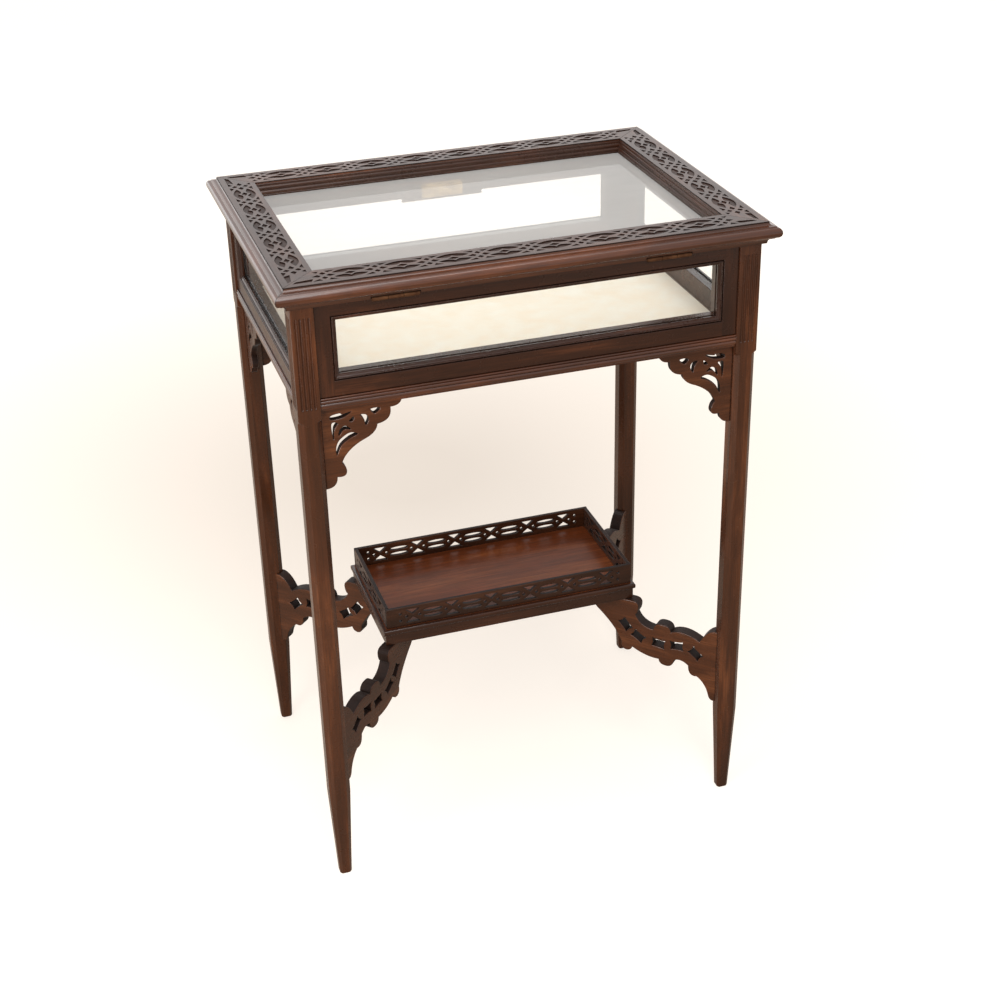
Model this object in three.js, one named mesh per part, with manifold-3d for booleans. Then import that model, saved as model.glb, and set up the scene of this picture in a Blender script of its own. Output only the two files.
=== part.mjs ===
// Mahogany display table with a glazed lift-up lid, glazed sides and a galleried tray between the legs.
// Millimetres, +Z up. X runs along the long side, the hinged side faces -Y and the locked side +Y.
// The origin is on the floor under the middle of the table.

import * as THREE from "three";
import { mergeVertices } from "three/addons/utils/BufferGeometryUtils.js";
import Module from "manifold-3d";

const wasm = await Module();
wasm.setup();

// Whole table
const tableHeight = 760;
const bodyLength = 519.6;
const bodyDepth = 365.4;
const glueLine = 0.3;
const seatGap = 0.3;
const cutOverrun = 4;

// Legs
const legWidth = 25;
const footWidth = 14.5;
const footRound = 2;
const legChamfer = 5.5;
const chamferStopDrop = 11;
const taperHeight = 122;

// Flutes on the two outer faces of each leg
const fluteCount = 4;
const fluteWidth = 3;
const flutePitch = 4.6;
const fluteDepth = 1.2;
const fluteBottomMargin = 4;
const fluteTopMargin = 11.7;

// Side frames, their glass and the beads that hold it
const frameSetback = 3;
const frameThickness = 19;
const frameHeight = 103.7;
const stileWidth = 16.5;
const topRailWidth = 14.7;
const bottomRailWidth = 17;
const rebateWidth = 6;
const beadDepth = 6.3;
const sideGlassThickness = 2.5;

// Moulded rail under the side frames, the bottom board and its lining
const astragalHeight = 15;
const astragalProjection = 2.5;
const baseBoardThickness = 10;
const liningThickness = 2.4;

// Corner spandrels
const spandrelWidth = 88;
const spandrelDrop = 94;
const spandrelThickness = 8;
const spandrelSetback = 7.2;

// Tray
const trayInset = 88.6;
const trayFrameBottom = 248;
const trayFrameHeight = 14;
const trayFrameWidth = 40;
const trayBoardThickness = 7;
const trayBoardProjection = 2.2;
const trayBoardRound = 2.2;
const galleryInset = 2.5;
const galleryHeight = 26.4;
const galleryThickness = 4.5;

// Piercing of the tray gallery
const galleryPitch = 48;
const galleryEndMargin = 33;
const galleryRail = 4.2;
const clusterHalfWidth = 9;
const clusterWaist = 2;
const dotRadius = 1.8;
const dotSpread = 8.2;
const endDotReach = 15.7;
const endDotRise = 4.7;
const lensStart = 12.6;
const lensHalfHeight = 2.3;
const lensRise = 3.9;

// Stretcher brackets between the legs and the tray
const stretcherThickness = 15;
const stretcherDrop = 118;
const spoolHalfLength = 8.5;
const spoolHalfHeight = 5.5;

// Lid
const lidThickness = 25;
const lidOverhang = 16.2;
const lidNosing = 12.2;
const lidReveal = 11;
const lidGlassThickness = 3.6;
const lidBeadHeight = 4.8;
const lidBeadRound = 1.25;
const innerMouldingWidth = 5;
const lidRebateWidth = 5;
const lidUndersideInset = 6.7;

// Butt hinges
const hingeLength = 50;
const hingeOffset = 150;
const hingeLeafThickness = 1.5;
const hingeLeafDepth = 15;
const hingeBarrelRadius = 2.6;
const hingePinRadius = 1.2;
const hingePinClearance = 0.15;
const hingePinOverhang = 1;
const hingeFaceClearance = 3;
const hingeKnuckleGap = 0.3;
const hingeRecessClearance = 0.3;

// Lock in the rail of the far side
const lockBlockLength = 100;
const lockBlockThickness = 3;
const lockBlockDrop = 24.4;
const lockPlateLength = 51;
const lockPlateMargin = 2.7;
const lockPlateThickness = 1;
const lockCaseLength = 44;
const lockCaseDepth = 15.8;
const lockCaseWall = 2;
const lockFloorThickness = 1.7;
const staplePlace = 9;
const stapleThickness = 2;
const stapleLeg = 2;
const stapleStrap = 2.5;
const stapleShoulder = 3;
const stapleFloorGap = 0.5;
const stapleClearance = 1;
const boltTailRoom = 4;
const boltTravel = 7;
const boltClearance = 0.3;
const strikeLength = 44;
const strikeWidth = 14;
const strikeThickness = 1.5;
const keyholeRadius = 1.6;
const keySlotWidth = 1.5;
const keySlotLength = 5;
const keyholePlace = -8;
const escutcheonWidth = 8;
const escutcheonHeight = 12;
const escutcheonThickness = 1;

// Fineness of curves
const curveSteps = 4;
const endSteps = 4;
const edgeSteps = 3;
const barrelSides = 16;
const dotSides = 6;

// Worked out from the sizes above
const halfLength = bodyLength / 2;
const halfDepth = bodyDepth / 2;
const lidBottom = tableHeight - lidThickness;
const caseTop = lidBottom - seatGap;
const frameBottom = caseTop - frameHeight;
const astragalBottom = frameBottom - astragalHeight;
const chamferStopHeight = astragalBottom - chamferStopDrop;
const fluteBottom = astragalBottom + fluteBottomMargin;
const fluteTop = caseTop - fluteTopMargin;
const legHalf = legWidth / 2;
const legAxisX = halfLength - legHalf;
const legAxisY = halfDepth - legHalf;
const trayHalfX = legAxisX - trayInset;
const trayHalfY = legAxisY - trayInset;
const trayBoardBottom = trayFrameBottom + trayFrameHeight;
const trayFloor = trayBoardBottom + trayBoardThickness;

// The four sides, each built as the near one and turned about the middle of the table. The ends name the
// corners at -X and +X of the side as it is built.
const quarterTurn = Math.PI / 2;
const longSpan = halfLength - legWidth;
const shortSpan = halfDepth - legWidth;
const longSide = { isLong: true, postFace: halfDepth, span: longSpan };
const shortSide = { isLong: false, postFace: halfLength, span: shortSpan };
const sides = [
  { ...longSide, name: "near", turn: 0, ends: ["left", "right"] },
  { ...shortSide, name: "right", turn: quarterTurn, ends: ["near", "far"] },
  { ...longSide, name: "far", turn: 2 * quarterTurn, ends: ["right", "left"] },
  { ...shortSide, name: "left", turn: -quarterTurn, ends: ["far", "near"] },
];
const corners = [
  { name: "near_left", turn: 0, x: -1, y: -1 },
  { name: "near_right", turn: quarterTurn, x: 1, y: -1 },
  { name: "far_right", turn: 2 * quarterTurn, x: 1, y: 1 },
  { name: "far_left", turn: -quarterTurn, x: -1, y: 1 },
];

// Finishes

function mahogany() {
  return new THREE.MeshStandardMaterial({ color: 0x4a2619, roughness: 0.35, metalness: 0 });
}

function trayMahogany() {
  return new THREE.MeshStandardMaterial({ color: 0x6b3520, roughness: 0.3, metalness: 0 });
}

function brass() {
  return new THREE.MeshStandardMaterial({ color: 0xb08d4f, roughness: 0.4, metalness: 1 });
}

function steel() {
  return new THREE.MeshStandardMaterial({ color: 0x77726a, roughness: 0.45, metalness: 1 });
}

function clearGlass() {
  return new THREE.MeshStandardMaterial({
    color: 0xf2f7f4, roughness: 0.05, metalness: 0, transparent: true, opacity: 0.25,
  });
}

function creamCloth() {
  return new THREE.MeshStandardMaterial({ color: 0xf3e3c6, roughness: 0.9, metalness: 0 });
}

// Solids

function asSolid(geometry) {
  const bare = geometry.clone();
  bare.deleteAttribute("normal");
  bare.deleteAttribute("uv");
  const merged = mergeVertices(bare);
  return new wasm.Manifold(new wasm.Mesh({
    numProp: 3,
    vertProperties: new Float32Array(merged.attributes.position.array),
    triVerts: new Uint32Array(merged.index.array),
  }));
}

function asGeometry(solid) {
  const mesh = solid.getMesh();
  const geometry = new THREE.BufferGeometry();
  geometry.setAttribute("position", new THREE.BufferAttribute(mesh.vertProperties, 3));
  geometry.setIndex(new THREE.BufferAttribute(mesh.triVerts, 1));
  geometry.computeVertexNormals();
  return geometry;
}

function joined(geometries) {
  return geometries.map(asSolid).reduce((whole, piece) => whole.add(piece));
}

function cut(solid, cutters) {
  return cutters.map(asSolid).reduce((whole, cutter) => whole.subtract(cutter), solid);
}

function block(x0, x1, y0, y1, z0, z1) {
  const geometry = new THREE.BoxGeometry(x1 - x0, y1 - y0, z1 - z0);
  return geometry.translate((x0 + x1) / 2, (y0 + y1) / 2, (z0 + z1) / 2);
}

function polygon(points) {
  return new THREE.Shape(points.map(([x, y]) => new THREE.Vector2(x, y)));
}

// A board cut from an outline in X and Z, with its front face at Y = 0 and its thickness towards +Y.
function boardFromOutline(outline, thickness) {
  const geometry = new THREE.ExtrudeGeometry(outline, {
    depth: thickness, bevelEnabled: false, curveSegments: curveSteps,
  });
  return geometry.rotateX(quarterTurn).translate(0, thickness, 0);
}

// A rail of a mitred frame. The section holds [distance outward, height] pairs, the rail runs along X,
// and outward is -Y. Each end is cut at 45 degrees through the corner of the reference rectangle.
function mitredRail(section, halfRun, endGap) {
  const geometry = new THREE.ExtrudeGeometry(polygon(section), { depth: 1, bevelEnabled: false });
  const position = geometry.attributes.position;
  for (let i = 0; i < position.count; i += 1) {
    const out = position.getX(i);
    const up = position.getY(i);
    const end = position.getZ(i) > 0 ? -1 : 1;
    position.setXYZ(i, end * (halfRun + out - endGap), -out, up);
  }
  geometry.computeVertexNormals();
  return geometry;
}

// A whole moulded frame round a rectangle of the given half sizes, flat in X and Y.
function mitredFrame(section, halfX, halfY) {
  const rails = [0, 1, 2, 3].map((quarter) => {
    const alongX = quarter % 2 === 0;
    const rail = mitredRail(section, alongX ? halfX : halfY, 0);
    rail.translate(0, alongX ? -halfY : -halfX, 0);
    return rail.rotateZ(quarter * quarterTurn);
  });
  return joined(rails);
}

function cylinderAlongX(radius, x0, x1, y, z) {
  const geometry = new THREE.CylinderGeometry(radius, radius, x1 - x0, barrelSides);
  return geometry.rotateZ(quarterTurn).translate((x0 + x1) / 2, y, z);
}

function curvedOutline(startShare, curveShares, width, height) {
  const outline = new THREE.Shape();
  outline.moveTo(startShare[0] * width, startShare[1] * height);
  for (const [controlX, controlY, endX, endY] of curveShares) {
    if (controlX === null) {
      outline.lineTo(endX * width, endY * height);
    } else {
      outline.quadraticCurveTo(controlX * width, controlY * height, endX * width, endY * height);
    }
  }
  return outline;
}

// The same board with openings cut right through it
function piercedBoard(outline, openings, thickness) {
  const cutters = openings.map((opening) => (
    boardFromOutline(opening, thickness + 2 * cutOverrun).translate(0, -cutOverrun, 0)
  ));
  return asGeometry(cut(asSolid(boardFromOutline(outline, thickness)), cutters));
}

// Legs

function stadium(width, bottom, top) {
  const radius = width / 2;
  const shape = new THREE.Shape();
  shape.absarc(0, top - radius, radius, 0, Math.PI, false);
  shape.absarc(0, bottom + radius, radius, Math.PI, 2 * Math.PI, false);
  return shape;
}

function fluteCutters() {
  const cutters = [];
  for (let i = 0; i < fluteCount; i += 1) {
    const across = (i - (fluteCount - 1) / 2) * flutePitch;
    const flute = new THREE.ExtrudeGeometry(stadium(fluteWidth, fluteBottom, fluteTop), {
      depth: fluteDepth + cutOverrun, bevelEnabled: false, curveSegments: endSteps,
    });
    flute.rotateX(quarterTurn).translate(across, -legHalf + fluteDepth, 0);
    cutters.push(flute, flute.clone().rotateZ(-quarterTurn));
  }
  return cutters;
}

// The chamfer of one corner: square above the stop, a sloping stop, a straight run and a taper to the foot.
function chamferCutter() {
  const legReach = (legHalf - legChamfer / 2) * Math.SQRT2;
  const footReach = legReach * (footWidth / legWidth);
  const outside = legHalf * Math.SQRT2 + cutOverrun;
  const profile = polygon([
    [footReach, -cutOverrun],
    [footReach, 0],
    [legReach, taperHeight],
    [legReach, chamferStopHeight],
    [outside, chamferStopHeight + outside - legReach],
    [outside, -cutOverrun],
  ]);
  const geometry = new THREE.ExtrudeGeometry(profile, { depth: 2 * legWidth, bevelEnabled: false });
  return geometry.translate(0, 0, -legWidth).rotateX(quarterTurn).rotateZ(quarterTurn / 2);
}

function legGeometry() {
  const cornerReach = legHalf * Math.SQRT2;
  const footReach = footWidth / 2 * Math.SQRT2;
  const profile = [
    [0, 0],
    [footReach - footRound, 0],
    [footReach, footRound],
    [cornerReach, taperHeight],
    [cornerReach, caseTop],
    [0, caseTop],
  ].map(([reach, height]) => new THREE.Vector2(reach, height));
  const blank = new THREE.LatheGeometry(profile, 4).rotateX(quarterTurn).rotateZ(quarterTurn / 2);
  const chamfers = [0, 1, 2, 3].map((quarter) => chamferCutter().rotateZ(quarter * quarterTurn));
  return asGeometry(cut(asSolid(blank), [...chamfers, ...fluteCutters()]));
}

// Space that a leg takes out of a piece that is housed against it
function legHousing() {
  const reach = (legHalf - legChamfer / 2) * Math.SQRT2 + glueLine;
  const half = legHalf + glueLine;
  const low = chamferStopHeight - tableHeight;
  const square = block(-half, half, -half, half, low, chamferStopHeight);
  const diamond = block(-reach, reach, -reach, reach, low, chamferStopHeight).rotateZ(quarterTurn / 2);
  return asGeometry(asSolid(square).intersect(asSolid(diamond)));
}

// Glazed sides. In each side's group the outer face of the frame is at Y = 0 and the inside is at +Y.

const openingTop = caseTop - topRailWidth;
const openingBottom = frameBottom + bottomRailWidth;

function sideFrameGeometry(side) {
  const half = side.span - glueLine;
  const opening = half - stileWidth;
  const sight = opening - rebateWidth;
  const rebateDepth = beadDepth + sideGlassThickness + glueLine;
  const back = frameThickness + cutOverrun;
  const cutters = [
    block(-opening, opening, -cutOverrun, rebateDepth, openingBottom, openingTop),
    block(-sight, sight, 0, back, openingBottom + rebateWidth, openingTop - rebateWidth),
  ];
  if (side.name === "far") {
    cutters.push(...lockHousingCutters());
  }
  if (side.name === "near") {
    cutters.push(...caseHingeCutters());
  }
  return asGeometry(cut(asSolid(block(-half, half, 0, frameThickness, frameBottom, caseTop)), cutters));
}

function lockHousingCutters() {
  const reach = lockCaseLength / 2 + glueLine;
  const face = frameThickness + lockBlockThickness - lockCaseDepth - glueLine;
  const housing = block(-reach, reach, face, frameThickness + cutOverrun, openingTop, caseTop + cutOverrun);
  return [housing, keyholeCutter(face)];
}

function caseHingeCutters() {
  const reach = hingeLength / 2 + hingeRecessClearance;
  const floor = caseTop - hingeLeafThickness - hingeRecessClearance;
  const depth = hingeLeafDepth + hingeRecessClearance;
  return [-hingeOffset, hingeOffset].map((middle) => (
    block(middle - reach, middle + reach, -cutOverrun, depth, floor, caseTop + cutOverrun)
  ));
}

function sideGlassGeometry(span) {
  const half = span - glueLine - stileWidth - glueLine;
  const back = beadDepth + sideGlassThickness;
  return block(-half, half, beadDepth, back, openingBottom + glueLine, openingTop - glueLine);
}

// Shares of the bead's width out from the sight line, and of its depth back from the frame's face
const beadShares = [[0, 1], [1, 1], [1, 0.1], [0.67, 0.1], [0.55, 0.2], [0.3, 0.4], [0.1, 0.62], [0, 0.7]];

function beadSection() {
  const width = rebateWidth - glueLine;
  const depth = beadDepth - glueLine;
  return beadShares.map(([out, back]) => [out * width, -back * depth]);
}

function sideBeadGeometry(span) {
  const halfX = span - glueLine - stileWidth - rebateWidth;
  const halfZ = (openingTop - openingBottom) / 2 - rebateWidth;
  const frame = asGeometry(mitredFrame(beadSection(), halfX, halfZ));
  return frame.rotateX(quarterTurn).translate(0, 0, (openingTop + openingBottom) / 2);
}

// Shares of the moulding's projection past the frame, and of its height down from the top
const astragalShares = [
  [0, 0], [0.4, 0.06], [0.9, 0.14], [1, 0.24], [0.9, 0.34], [0.3, 0.42], [0.1, 0.54], [0.3, 0.68],
  [0.7, 0.74], [0.7, 1],
];

function astragalGeometry(span) {
  const half = span - glueLine;
  const top = frameBottom - glueLine;
  const section = polygon([
    [frameThickness, astragalBottom],
    [frameThickness, top],
    ...astragalShares.map(([out, down]) => [-out * astragalProjection, top - down * (top - astragalBottom)]),
  ]);
  const geometry = new THREE.ExtrudeGeometry(section, { depth: 2 * half, bevelEnabled: false });
  geometry.translate(0, 0, -half);
  return geometry.applyMatrix4(new THREE.Matrix4().makeBasis(
    new THREE.Vector3(0, 1, 0), new THREE.Vector3(0, 0, 1), new THREE.Vector3(1, 0, 0),
  ));
}

// Bottom board and lining, notched round the legs

function caseFloorGeometry(bottom, thickness) {
  const halfX = halfLength - frameSetback - frameThickness - glueLine;
  const halfY = halfDepth - frameSetback - frameThickness - glueLine;
  const notchX = halfLength - legWidth - glueLine;
  const notchY = halfDepth - legWidth - glueLine;
  const top = bottom + thickness;
  const board = block(-halfX, halfX, -halfY, halfY, bottom, top);
  const notches = corners.map(({ x, y }) => block(
    Math.min(x * notchX, x * halfLength), Math.max(x * notchX, x * halfLength),
    Math.min(y * notchY, y * halfDepth), Math.max(y * notchY, y * halfDepth),
    bottom - cutOverrun, top + cutOverrun,
  ));
  return asGeometry(cut(asSolid(board), notches));
}

// Spandrels. Shares of the width from the leg, and of the drop below the moulded rail.

const spandrelCurveShares = [
  [null, null, 1, 0],
  [0.99, 0.095, 0.855, 0.095],
  [0.875, 0.26, 0.683, 0.28],
  [0.67, 0.39, 0.498, 0.448],
  [0.28, 0.543, 0.22, 0.696],
  [0.267, 0.739, 0.272, 0.803],
  [0.273, 0.888, 0.151, 0.867],
  [0.147, 0.998, 0, 1],
];
const spandrelHoleShares = [
  [[0.61, 0.084], [0.723, 0.084], [0.658, 0.144]],
  [[0.478, 0.132], [0.545, 0.142], [0.575, 0.2], [0.54, 0.268], [0.525, 0.2], [0.5, 0.158]],
  [[0.34, 0.188], [0.395, 0.142], [0.385, 0.19]],
  [[0.12, 0.14], [0.12, 0.096], [0.227, 0.078], [0.256, 0.096], [0.37, 0.076], [0.262, 0.132]],
  [[0.122, 0.196], [0.195, 0.196], [0.15, 0.262], [0.134, 0.383]],
  [[0.2, 0.35], [0.215, 0.285], [0.265, 0.245], [0.305, 0.25], [0.35, 0.29], [0.29, 0.278], [0.245, 0.3]],
  [[0.161, 0.585], [0.165, 0.48], [0.215, 0.4], [0.335, 0.335], [0.43, 0.362], [0.33, 0.402], [0.22, 0.48]],
];

function spandrelGeometry(mirror) {
  const width = mirror * spandrelWidth;
  const outline = curvedOutline([0, 0], spandrelCurveShares, width, -spandrelDrop);
  const openings = spandrelHoleShares.map((shares) => (
    polygon(shares.map(([along, down]) => [along * width, -down * spandrelDrop]))
  ));
  return piercedBoard(outline, openings, spandrelThickness);
}

// Stretcher brackets. Shares of the reach from the leg's axis, and of the drop below the tray.

const trayCornerShare = 0.696;
const stretcherReach = trayInset * Math.SQRT2 / trayCornerShare;
const stretcherCurveShares = [
  [null, null, 0.689, 0],
  [0.639, 0, 0.64, 0.068],
  [0.642, 0.136, 0.662, 0.158],
  [0.628, 0.288, 0.525, 0.293],
  [0.519, 0.205, 0.461, 0.207],
  [0.403, 0.205, 0.396, 0.278],
  [0.307, 0.2, 0.184, 0.309],
  [0.139, 0.161, 0.082, 0.141],
  [null, null, 0, 0.141],
  [null, null, 0, 1],
  [null, null, 0.077, 1],
  [0.103, 0.996, 0.111, 0.932],
  [0.133, 0.805, 0.196, 0.745],
  [0.261, 0.771, 0.263, 0.635],
  [0.324, 0.565, 0.367, 0.615],
  [0.375, 0.708, 0.425, 0.709],
  [0.478, 0.709, 0.481, 0.646],
  [0.581, 0.657, 0.681, 0.573],
  [0.689, 0.627, 0.725, 0.629],
  [0.767, 0.623, 0.761, 0.531],
  [0.812, 0.355, 0.948, 0.182],
  [1, 0.102, 1, 0],
];
const spoolPlaceShares = [
  [0.728, 0.28, 0.28],
  [0.636, 0.42, 0.18],
  [0.486, 0.449, 0.03],
  [0.35, 0.424, -0.03],
  [0.211, 0.466, 0.22],
];

// A spool piercing has two flared ends and a narrow waist. Shares of its half length and half height.
const spoolShares = [
  [-1, -1], [-0.4, -0.47], [0.4, -0.47], [1, -1], [0.82, 0],
  [1, 1], [0.4, 0.47], [-0.4, 0.47], [-1, 1], [-0.82, 0],
];

// The tilt is a share of half a turn.
function spool(middleX, middleZ, tiltShare) {
  const tilt = tiltShare * Math.PI;
  const corners = spoolShares.map(([along, across]) => [along * spoolHalfLength, across * spoolHalfHeight]);
  return polygon(corners.map(([x, z]) => [
    middleX + x * Math.cos(tilt) - z * Math.sin(tilt),
    middleZ + x * Math.sin(tilt) + z * Math.cos(tilt),
  ]));
}

function stretcherGeometry() {
  const outline = curvedOutline([1, 0], stretcherCurveShares, stretcherReach, -stretcherDrop);
  const spools = spoolPlaceShares.map(([along, down, tilt]) => (
    spool(along * stretcherReach, -down * stretcherDrop, tilt)
  ));
  const board = piercedBoard(outline, spools, stretcherThickness);
  board.translate(0, -stretcherThickness / 2, trayFrameBottom - glueLine);
  board.rotateZ(quarterTurn / 2);
  return asGeometry(cut(asSolid(board), [legHousing()]));
}

// Tray

function trayFrameGeometry() {
  const ring = asSolid(block(-trayHalfX, trayHalfX, -trayHalfY, trayHalfY, trayFrameBottom, trayBoardBottom));
  const insideX = trayHalfX - trayFrameWidth;
  const insideY = trayHalfY - trayFrameWidth;
  const low = trayFrameBottom - cutOverrun;
  const high = trayBoardBottom + cutOverrun;
  return asGeometry(cut(ring, [block(-insideX, insideX, -insideY, insideY, low, high)]));
}

function trayBoardGeometry() {
  const round = Math.min(trayBoardRound, trayBoardThickness / 3);
  const halfX = trayHalfX + trayBoardProjection - round;
  const halfY = trayHalfY + trayBoardProjection - round;
  const outline = polygon([[-halfX, -halfY], [halfX, -halfY], [halfX, halfY], [-halfX, halfY]]);
  const geometry = new THREE.ExtrudeGeometry(outline, {
    depth: trayBoardThickness - 2 * round,
    bevelEnabled: true,
    bevelThickness: round,
    bevelSize: round,
    bevelSegments: edgeSteps,
  });
  return geometry.translate(0, 0, trayBoardBottom + round);
}

function dot(x, z) {
  const around = [];
  for (let i = 0; i < dotSides; i += 1) {
    const angle = i * 2 * Math.PI / dotSides;
    around.push([x + dotRadius * Math.cos(angle), z + dotRadius * Math.sin(angle)]);
  }
  return polygon(around);
}

function triangle(x, z, up) {
  const high = galleryHeight / 2 - galleryRail;
  return polygon([
    [x - clusterHalfWidth, z + up * high],
    [x, z + up * clusterWaist],
    [x + clusterHalfWidth, z + up * high],
  ]);
}

// Shares of a lens opening's half length and half height
const lensShares = [[-1, 0], [-0.6, 0.8], [0, 1], [0.6, 0.8], [1, 0], [0.6, -0.8], [0, -1], [-0.6, -0.8]];

function lens(x, z, halfSpan) {
  const reach = halfSpan - lensStart;
  return polygon(lensShares.map(([along, across]) => [x + along * reach, z + across * lensHalfHeight]));
}

// One side of the gallery: crossed clusters with a pair of lenses between each two, and dots at the ends.
function galleryGeometry(half, patternHalf) {
  const outline = polygon([[-half, 0], [half, 0], [half, galleryHeight], [-half, galleryHeight]]);
  const middle = galleryHeight / 2;
  const lastCluster = patternHalf - galleryEndMargin;
  const spaces = Math.max(1, Math.round(2 * lastCluster / galleryPitch));
  const halfSpan = lastCluster / spaces;
  const openings = [];
  for (let i = 0; i <= spaces; i += 1) {
    const x = 2 * i * halfSpan - lastCluster;
    openings.push(triangle(x, middle, 1), triangle(x, middle, -1));
    openings.push(dot(x - dotSpread, middle), dot(x + dotSpread, middle));
  }
  for (let i = 0; i < spaces; i += 1) {
    const x = (2 * i + 1) * halfSpan - lastCluster;
    openings.push(lens(x, middle + lensRise, halfSpan), lens(x, middle - lensRise, halfSpan));
  }
  for (const end of [-1, 1]) {
    const x = end * (lastCluster + endDotReach);
    openings.push(dot(x, middle + endDotRise), dot(x, middle - endDotRise));
  }
  return piercedBoard(outline, openings, galleryThickness);
}

// Lid. The section runs outward from the inner edge of the flat border.

const lidOpeningX = halfLength - frameSetback - frameThickness - lidReveal;
const lidOpeningY = halfDepth - frameSetback - frameThickness - lidReveal;
const lidFlatWidth = halfLength + lidOverhang - lidNosing - lidOpeningX;
const lidRebateTop = lidBottom + lidBeadHeight + lidGlassThickness + 2 * glueLine;
const lidGlassDepth = tableHeight - lidRebateTop;

// Shares of the nosing's width past the flat, and of the lid's thickness down from the top
const nosingShares = [
  [0.07, 0.02], [0.1, 0.09], [0.16, 0.17], [0.3, 0.24], [0.6, 0.28], [0.63, 0.33], [0.86, 0.36],
  [0.97, 0.42], [1, 0.48], [0.96, 0.58], [0.83, 0.68], [0.62, 0.77], [0.45, 0.83],
];
// Shares of the inner moulding's width inside the flat, and of its depth down to the glass
const innerMouldingShares = [
  [1, 1], [1, 0.86], [0.9, 0.74], [0.7, 0.7], [0.62, 0.64], [0.6, 0.5], [0.42, 0.32], [0.15, 0.18], [0, 0.16],
];

function lidSection() {
  const under = lidFlatWidth + lidNosing - lidUndersideInset;
  return [
    ...innerMouldingShares.map(([out, down]) => [
      -out * innerMouldingWidth, tableHeight - down * lidGlassDepth,
    ]),
    [0, tableHeight],
    [lidFlatWidth, tableHeight],
    ...nosingShares.map(([out, down]) => [
      lidFlatWidth + out * lidNosing, tableHeight - down * lidThickness,
    ]),
    [under, lidBottom],
    [lidRebateWidth, lidBottom],
    [lidRebateWidth, lidRebateTop],
  ];
}

function lidRailGeometry(side) {
  const halfRun = side.isLong ? lidOpeningX : lidOpeningY;
  const inset = side.isLong ? lidOpeningY : lidOpeningX;
  const rail = mitredRail(lidSection(), halfRun, glueLine / 2);
  rail.translate(0, -inset, 0);
  if (side.name === "near") {
    return asGeometry(cut(asSolid(rail), lidHingeCutters()));
  }
  if (side.name === "far") {
    return asGeometry(cut(asSolid(rail), [strikeRecess()]));
  }
  return rail;
}

function lidGlassGeometry() {
  const halfX = lidOpeningX + lidRebateWidth - glueLine;
  const halfY = lidOpeningY + lidRebateWidth - glueLine;
  const top = lidRebateTop - glueLine;
  return block(-halfX, halfX, -halfY, halfY, top - lidGlassThickness, top);
}

function lidGlassBeadGeometry() {
  const outer = lidRebateWidth - glueLine;
  const top = lidBottom + lidBeadHeight;
  const round = Math.min(lidBeadRound, lidBeadHeight / 2);
  const section = [
    [outer, lidBottom],
    [outer, top],
    [-innerMouldingWidth, top],
    [-innerMouldingWidth, lidBottom + round],
    [-innerMouldingWidth + round, lidBottom],
  ];
  return asGeometry(mitredFrame(section, lidOpeningX, lidOpeningY));
}

// Hinges. The axis lies in the joint between the lid and the case, just clear of the legs' outer faces.

const hingeAxisY = -(halfDepth + hingeFaceClearance);
const hingeAxisZ = caseTop + seatGap / 2;
const leafInnerY = -(halfDepth - frameSetback - hingeLeafDepth);
const knuckleLength = hingeLength / 3;

function lidHingeCutters() {
  const barrel = hingeBarrelRadius + hingeRecessClearance;
  const reach = hingeLength / 2 + hingeRecessClearance;
  const under = lidBottom - cutOverrun;
  const recessTop = lidBottom + hingeLeafThickness + hingeRecessClearance;
  const grooveReach = reach + hingePinOverhang + hingeRecessClearance;
  const grooveTop = hingeAxisZ + barrel;
  const innerY = leafInnerY + hingeRecessClearance;
  const outerY = hingeAxisY - barrel;
  const grooveInnerY = hingeAxisY + barrel;
  return [-hingeOffset, hingeOffset].flatMap((middle) => [
    block(middle - reach, middle + reach, hingeAxisY, innerY, under, recessTop),
    block(middle - grooveReach, middle + grooveReach, outerY, grooveInnerY, under, grooveTop),
  ]);
}

// A leaf with its knuckles. The two outer ones belong to the case leaf, the middle one to the lid leaf.
function hingeLeafGeometry(middle, onLid) {
  const half = hingeLength / 2;
  const inner = knuckleLength / 2;
  const bottom = onLid ? lidBottom : caseTop - hingeLeafThickness;
  const top = bottom + hingeLeafThickness;
  const plate = block(middle - half, middle + half, hingeAxisY, leafInnerY, bottom, top);
  const middleSpan = [middle - inner, middle + inner];
  const outerSpans = [[middle - half, middle - inner], [middle + inner, middle + half]];
  const own = (onLid ? [middleSpan] : outerSpans).map(([x0, x1]) => (
    cylinderAlongX(hingeBarrelRadius, x0, x1, hingeAxisY, hingeAxisZ)
  ));
  const clearRadius = hingeBarrelRadius + hingeKnuckleGap;
  const other = (onLid ? outerSpans : [middleSpan]).map(([x0, x1]) => block(
    x0 - hingeKnuckleGap, x1 + hingeKnuckleGap,
    hingeAxisY - clearRadius, hingeAxisY + clearRadius,
    hingeAxisZ - clearRadius, hingeAxisZ + clearRadius,
  ));
  const bore = cylinderAlongX(
    hingePinRadius + hingePinClearance, middle - hingeLength, middle + hingeLength, hingeAxisY, hingeAxisZ,
  );
  return asGeometry(cut(joined([plate, ...own]), [...other, bore]));
}

function hingePinGeometry(middle) {
  const half = hingeLength / 2 + hingePinOverhang;
  return cylinderAlongX(hingePinRadius, middle - half, middle + half, hingeAxisY, hingeAxisZ);
}

// Lock. Built in table coordinates on the far side, where the inside of the case is at -Y.

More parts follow.
